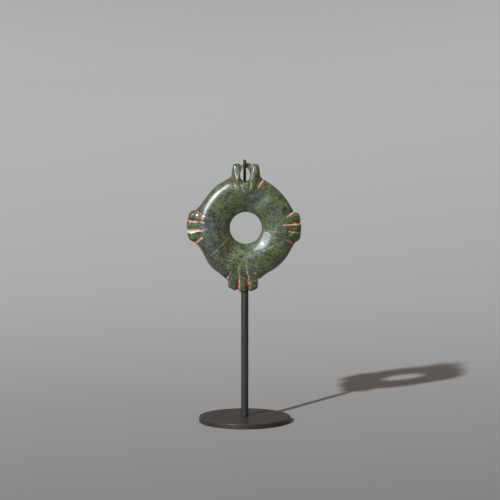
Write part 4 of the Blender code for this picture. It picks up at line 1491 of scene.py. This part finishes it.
class MakeRing(bpy.types.Operator):
    """Make the carved greenstone ring, pierced and with red earth in its grooves"""

    bl_idname = "leg_ring.make_ring"
    bl_label = "Greenstone ring"

    def execute(self, context):
        form = RingForm(context.scene.ring_sizes)
        body = add_piece("carved_greenstone_ring", ring_body(form))
        ring = pierced(body, cord_hole_cutter(form))
        mark_red_earth(ring.data, form)
        ring.data.materials.clear()
        ring.data.materials.append(greenstone(context.scene.stone_looks, form))
        ring.data.shade_smooth()
        ring.data.set_sharp_from_angle(angle=math.radians(SHARP_DEGREES))
        hand_over(ring, "greenstone", "parrot_leg_ring")
        return {"FINISHED"}


class MakeFoot(bpy.types.Operator):
    """Make the round black foot of the stand"""

    bl_idname = "leg_ring.make_foot"
    bl_label = "Stand foot"

    def execute(self, context):
        stand = context.scene.stand_sizes
        foot = made_by(turned_tree(), "lacquered_foot", bpy.data.meshes.new("foot_host"), {
            "Radius": stand.foot_diameter / 2, "Foot": FOOT_LOW.z,
            "Top": FOOT_LOW.z + stand.foot_thickness, "Edge": stand.foot_edge,
            "Sides": FOOT_SIDES, "Steps": TURNED_STEPS,
            "Finish": black_lacquer(stand, "foot_lacquer", FOOT_DUST_AND_SHEEN)})
        hand_over(foot, "stand_metal", "stand_foot")
        return {"FINISHED"}


class MakePost(bpy.types.Operator):
    """Make the slim black rod that carries the ring"""

    bl_idname = "leg_ring.make_post"
    bl_label = "Stand post"

    def execute(self, context):
        stand = context.scene.stand_sizes
        post = made_by(turned_tree(), "lacquered_post", bpy.data.meshes.new("post_host"), {
            "Radius": stand.post_diameter / 2, "Foot": FOOT_LOW.z + stand.foot_thickness,
            "Top": POST_HIGH.z + SOLID_GAP, "Edge": stand.post_edge,
            "Sides": POST_SIDES, "Steps": TURNED_STEPS,
            "Finish": black_lacquer(stand, "post_lacquer", POST_DUST_AND_SHEEN)})
        hand_over(post, "stand_metal", "stand_post")
        return {"FINISHED"}


class MakeHook(bpy.types.Operator):
    """Make the black wire that holds the ring upright, with its seam of braze"""

    bl_idname = "leg_ring.make_hook"
    bl_label = "Wire hook"

    def execute(self, context):
        stand = context.scene.stand_sizes
        form = RingForm(context.scene.ring_sizes)
        curve = bpy.data.curves.new("hook_route", "CURVE")
        curve.dimensions = "3D"
        points = smooth_route(hook_route(form, stand), WIRE_SPACING * MM)
        add_spline(curve, *trimmed_ends(points, WIRE_CHAMFER * MM, stand.wire_diameter / 2))
        add_spline(curve, *braze_bead(form, stand))
        hook = made_by(swept_tree(), "lacquered_wire_hook", curve, {
            "Diameter": stand.wire_diameter, "Sides": WIRE_SIDES,
            "Finish": black_lacquer(stand, "wire_lacquer", WIRE_DUST_AND_SHEEN)})
        hand_over(hook, "stand_metal", "stand_hook")
        return {"FINISHED"}


class SetStage(bpy.types.Operator):
    """Set up the plain floor, the lights and the camera"""

    bl_idname = "leg_ring.set_stage"
    bl_label = "Floor, lights and camera"

    def execute(self, context):
        looks = context.scene.stage_looks
        floor = add_piece("floor", floor_mesh())
        floor.data.materials.append(floor_with_painted_light(looks))
        add_lamp("key_light", "DISK", looks.key_watts, (looks.key_size, looks.key_size),
                 (looks.key_left, looks.key_up, looks.key_distance))
        softbox = add_lamp("softbox", "ELLIPSE", looks.softbox_watts,
                           (looks.softbox_long, looks.softbox_short),
                           (looks.softbox_left, looks.softbox_up, looks.softbox_distance))
        softbox.rotation_euler.rotate_axis("Z", math.radians(looks.softbox_turn))
        softbox.visible_diffuse = False
        softbox.visible_camera = False
        context.scene.world = room_light(looks)
        lens = bpy.data.cameras.new("camera")
        lens.lens = looks.lens
        lens.sensor_width = SENSOR_WIDTH
        camera = add_piece("camera", lens)
        camera.location = (CAMERA_ASIDE, -looks.camera_distance, looks.camera_height)
        aim(camera, Vector((CAMERA_ASIDE, 0.0, AIM_HEIGHT)))
        context.scene.camera = camera
        context.scene.view_settings.view_transform = "Standard"
        return {"FINISHED"}


class LegRingPanel(bpy.types.Panel):
    """Lists the pieces and their sizes and colours"""

    bl_idname = "VIEW3D_PT_leg_ring"
    bl_label = "Greenstone Leg Ring"
    bl_space_type = "VIEW_3D"
    bl_region_type = "UI"
    bl_category = "Leg Ring"

    def draw(self, context):
        for maker in MAKERS:
            self.layout.operator(maker.bl_idname)
        for group in GROUPS:
            box = self.layout.box()
            values = getattr(context.scene, group)
            for name in values.bl_rna.properties.keys():
                if name not in ("rna_type", "name"):
                    box.prop(values, name)


GROUPS = {
    "ring_sizes": RingSizes,
    "stone_looks": StoneLooks,
    "stand_sizes": StandSizes,
    "stage_looks": StageLooks,
}
MAKERS = (MakeFoot, MakePost, MakeRing, MakeHook, SetStage)


def register():
    for made in (*GROUPS.values(), *MAKERS, LegRingPanel):
        bpy.utils.register_class(made)
    for name, group in GROUPS.items():
        setattr(bpy.types.Scene, name, PointerProperty(type=group))


def unregister():
    for name in GROUPS:
        delattr(bpy.types.Scene, name)
    for made in reversed((*GROUPS.values(), *MAKERS, LegRingPanel)):
        bpy.utils.unregister_class(made)


def main():
    register()
    bpy.ops.leg_ring.set_stage()
    bpy.ops.leg_ring.make_foot()
    bpy.ops.leg_ring.make_post()
    bpy.ops.leg_ring.make_ring()
    bpy.ops.leg_ring.make_hook()


if __name__ == "__main__":
    main()
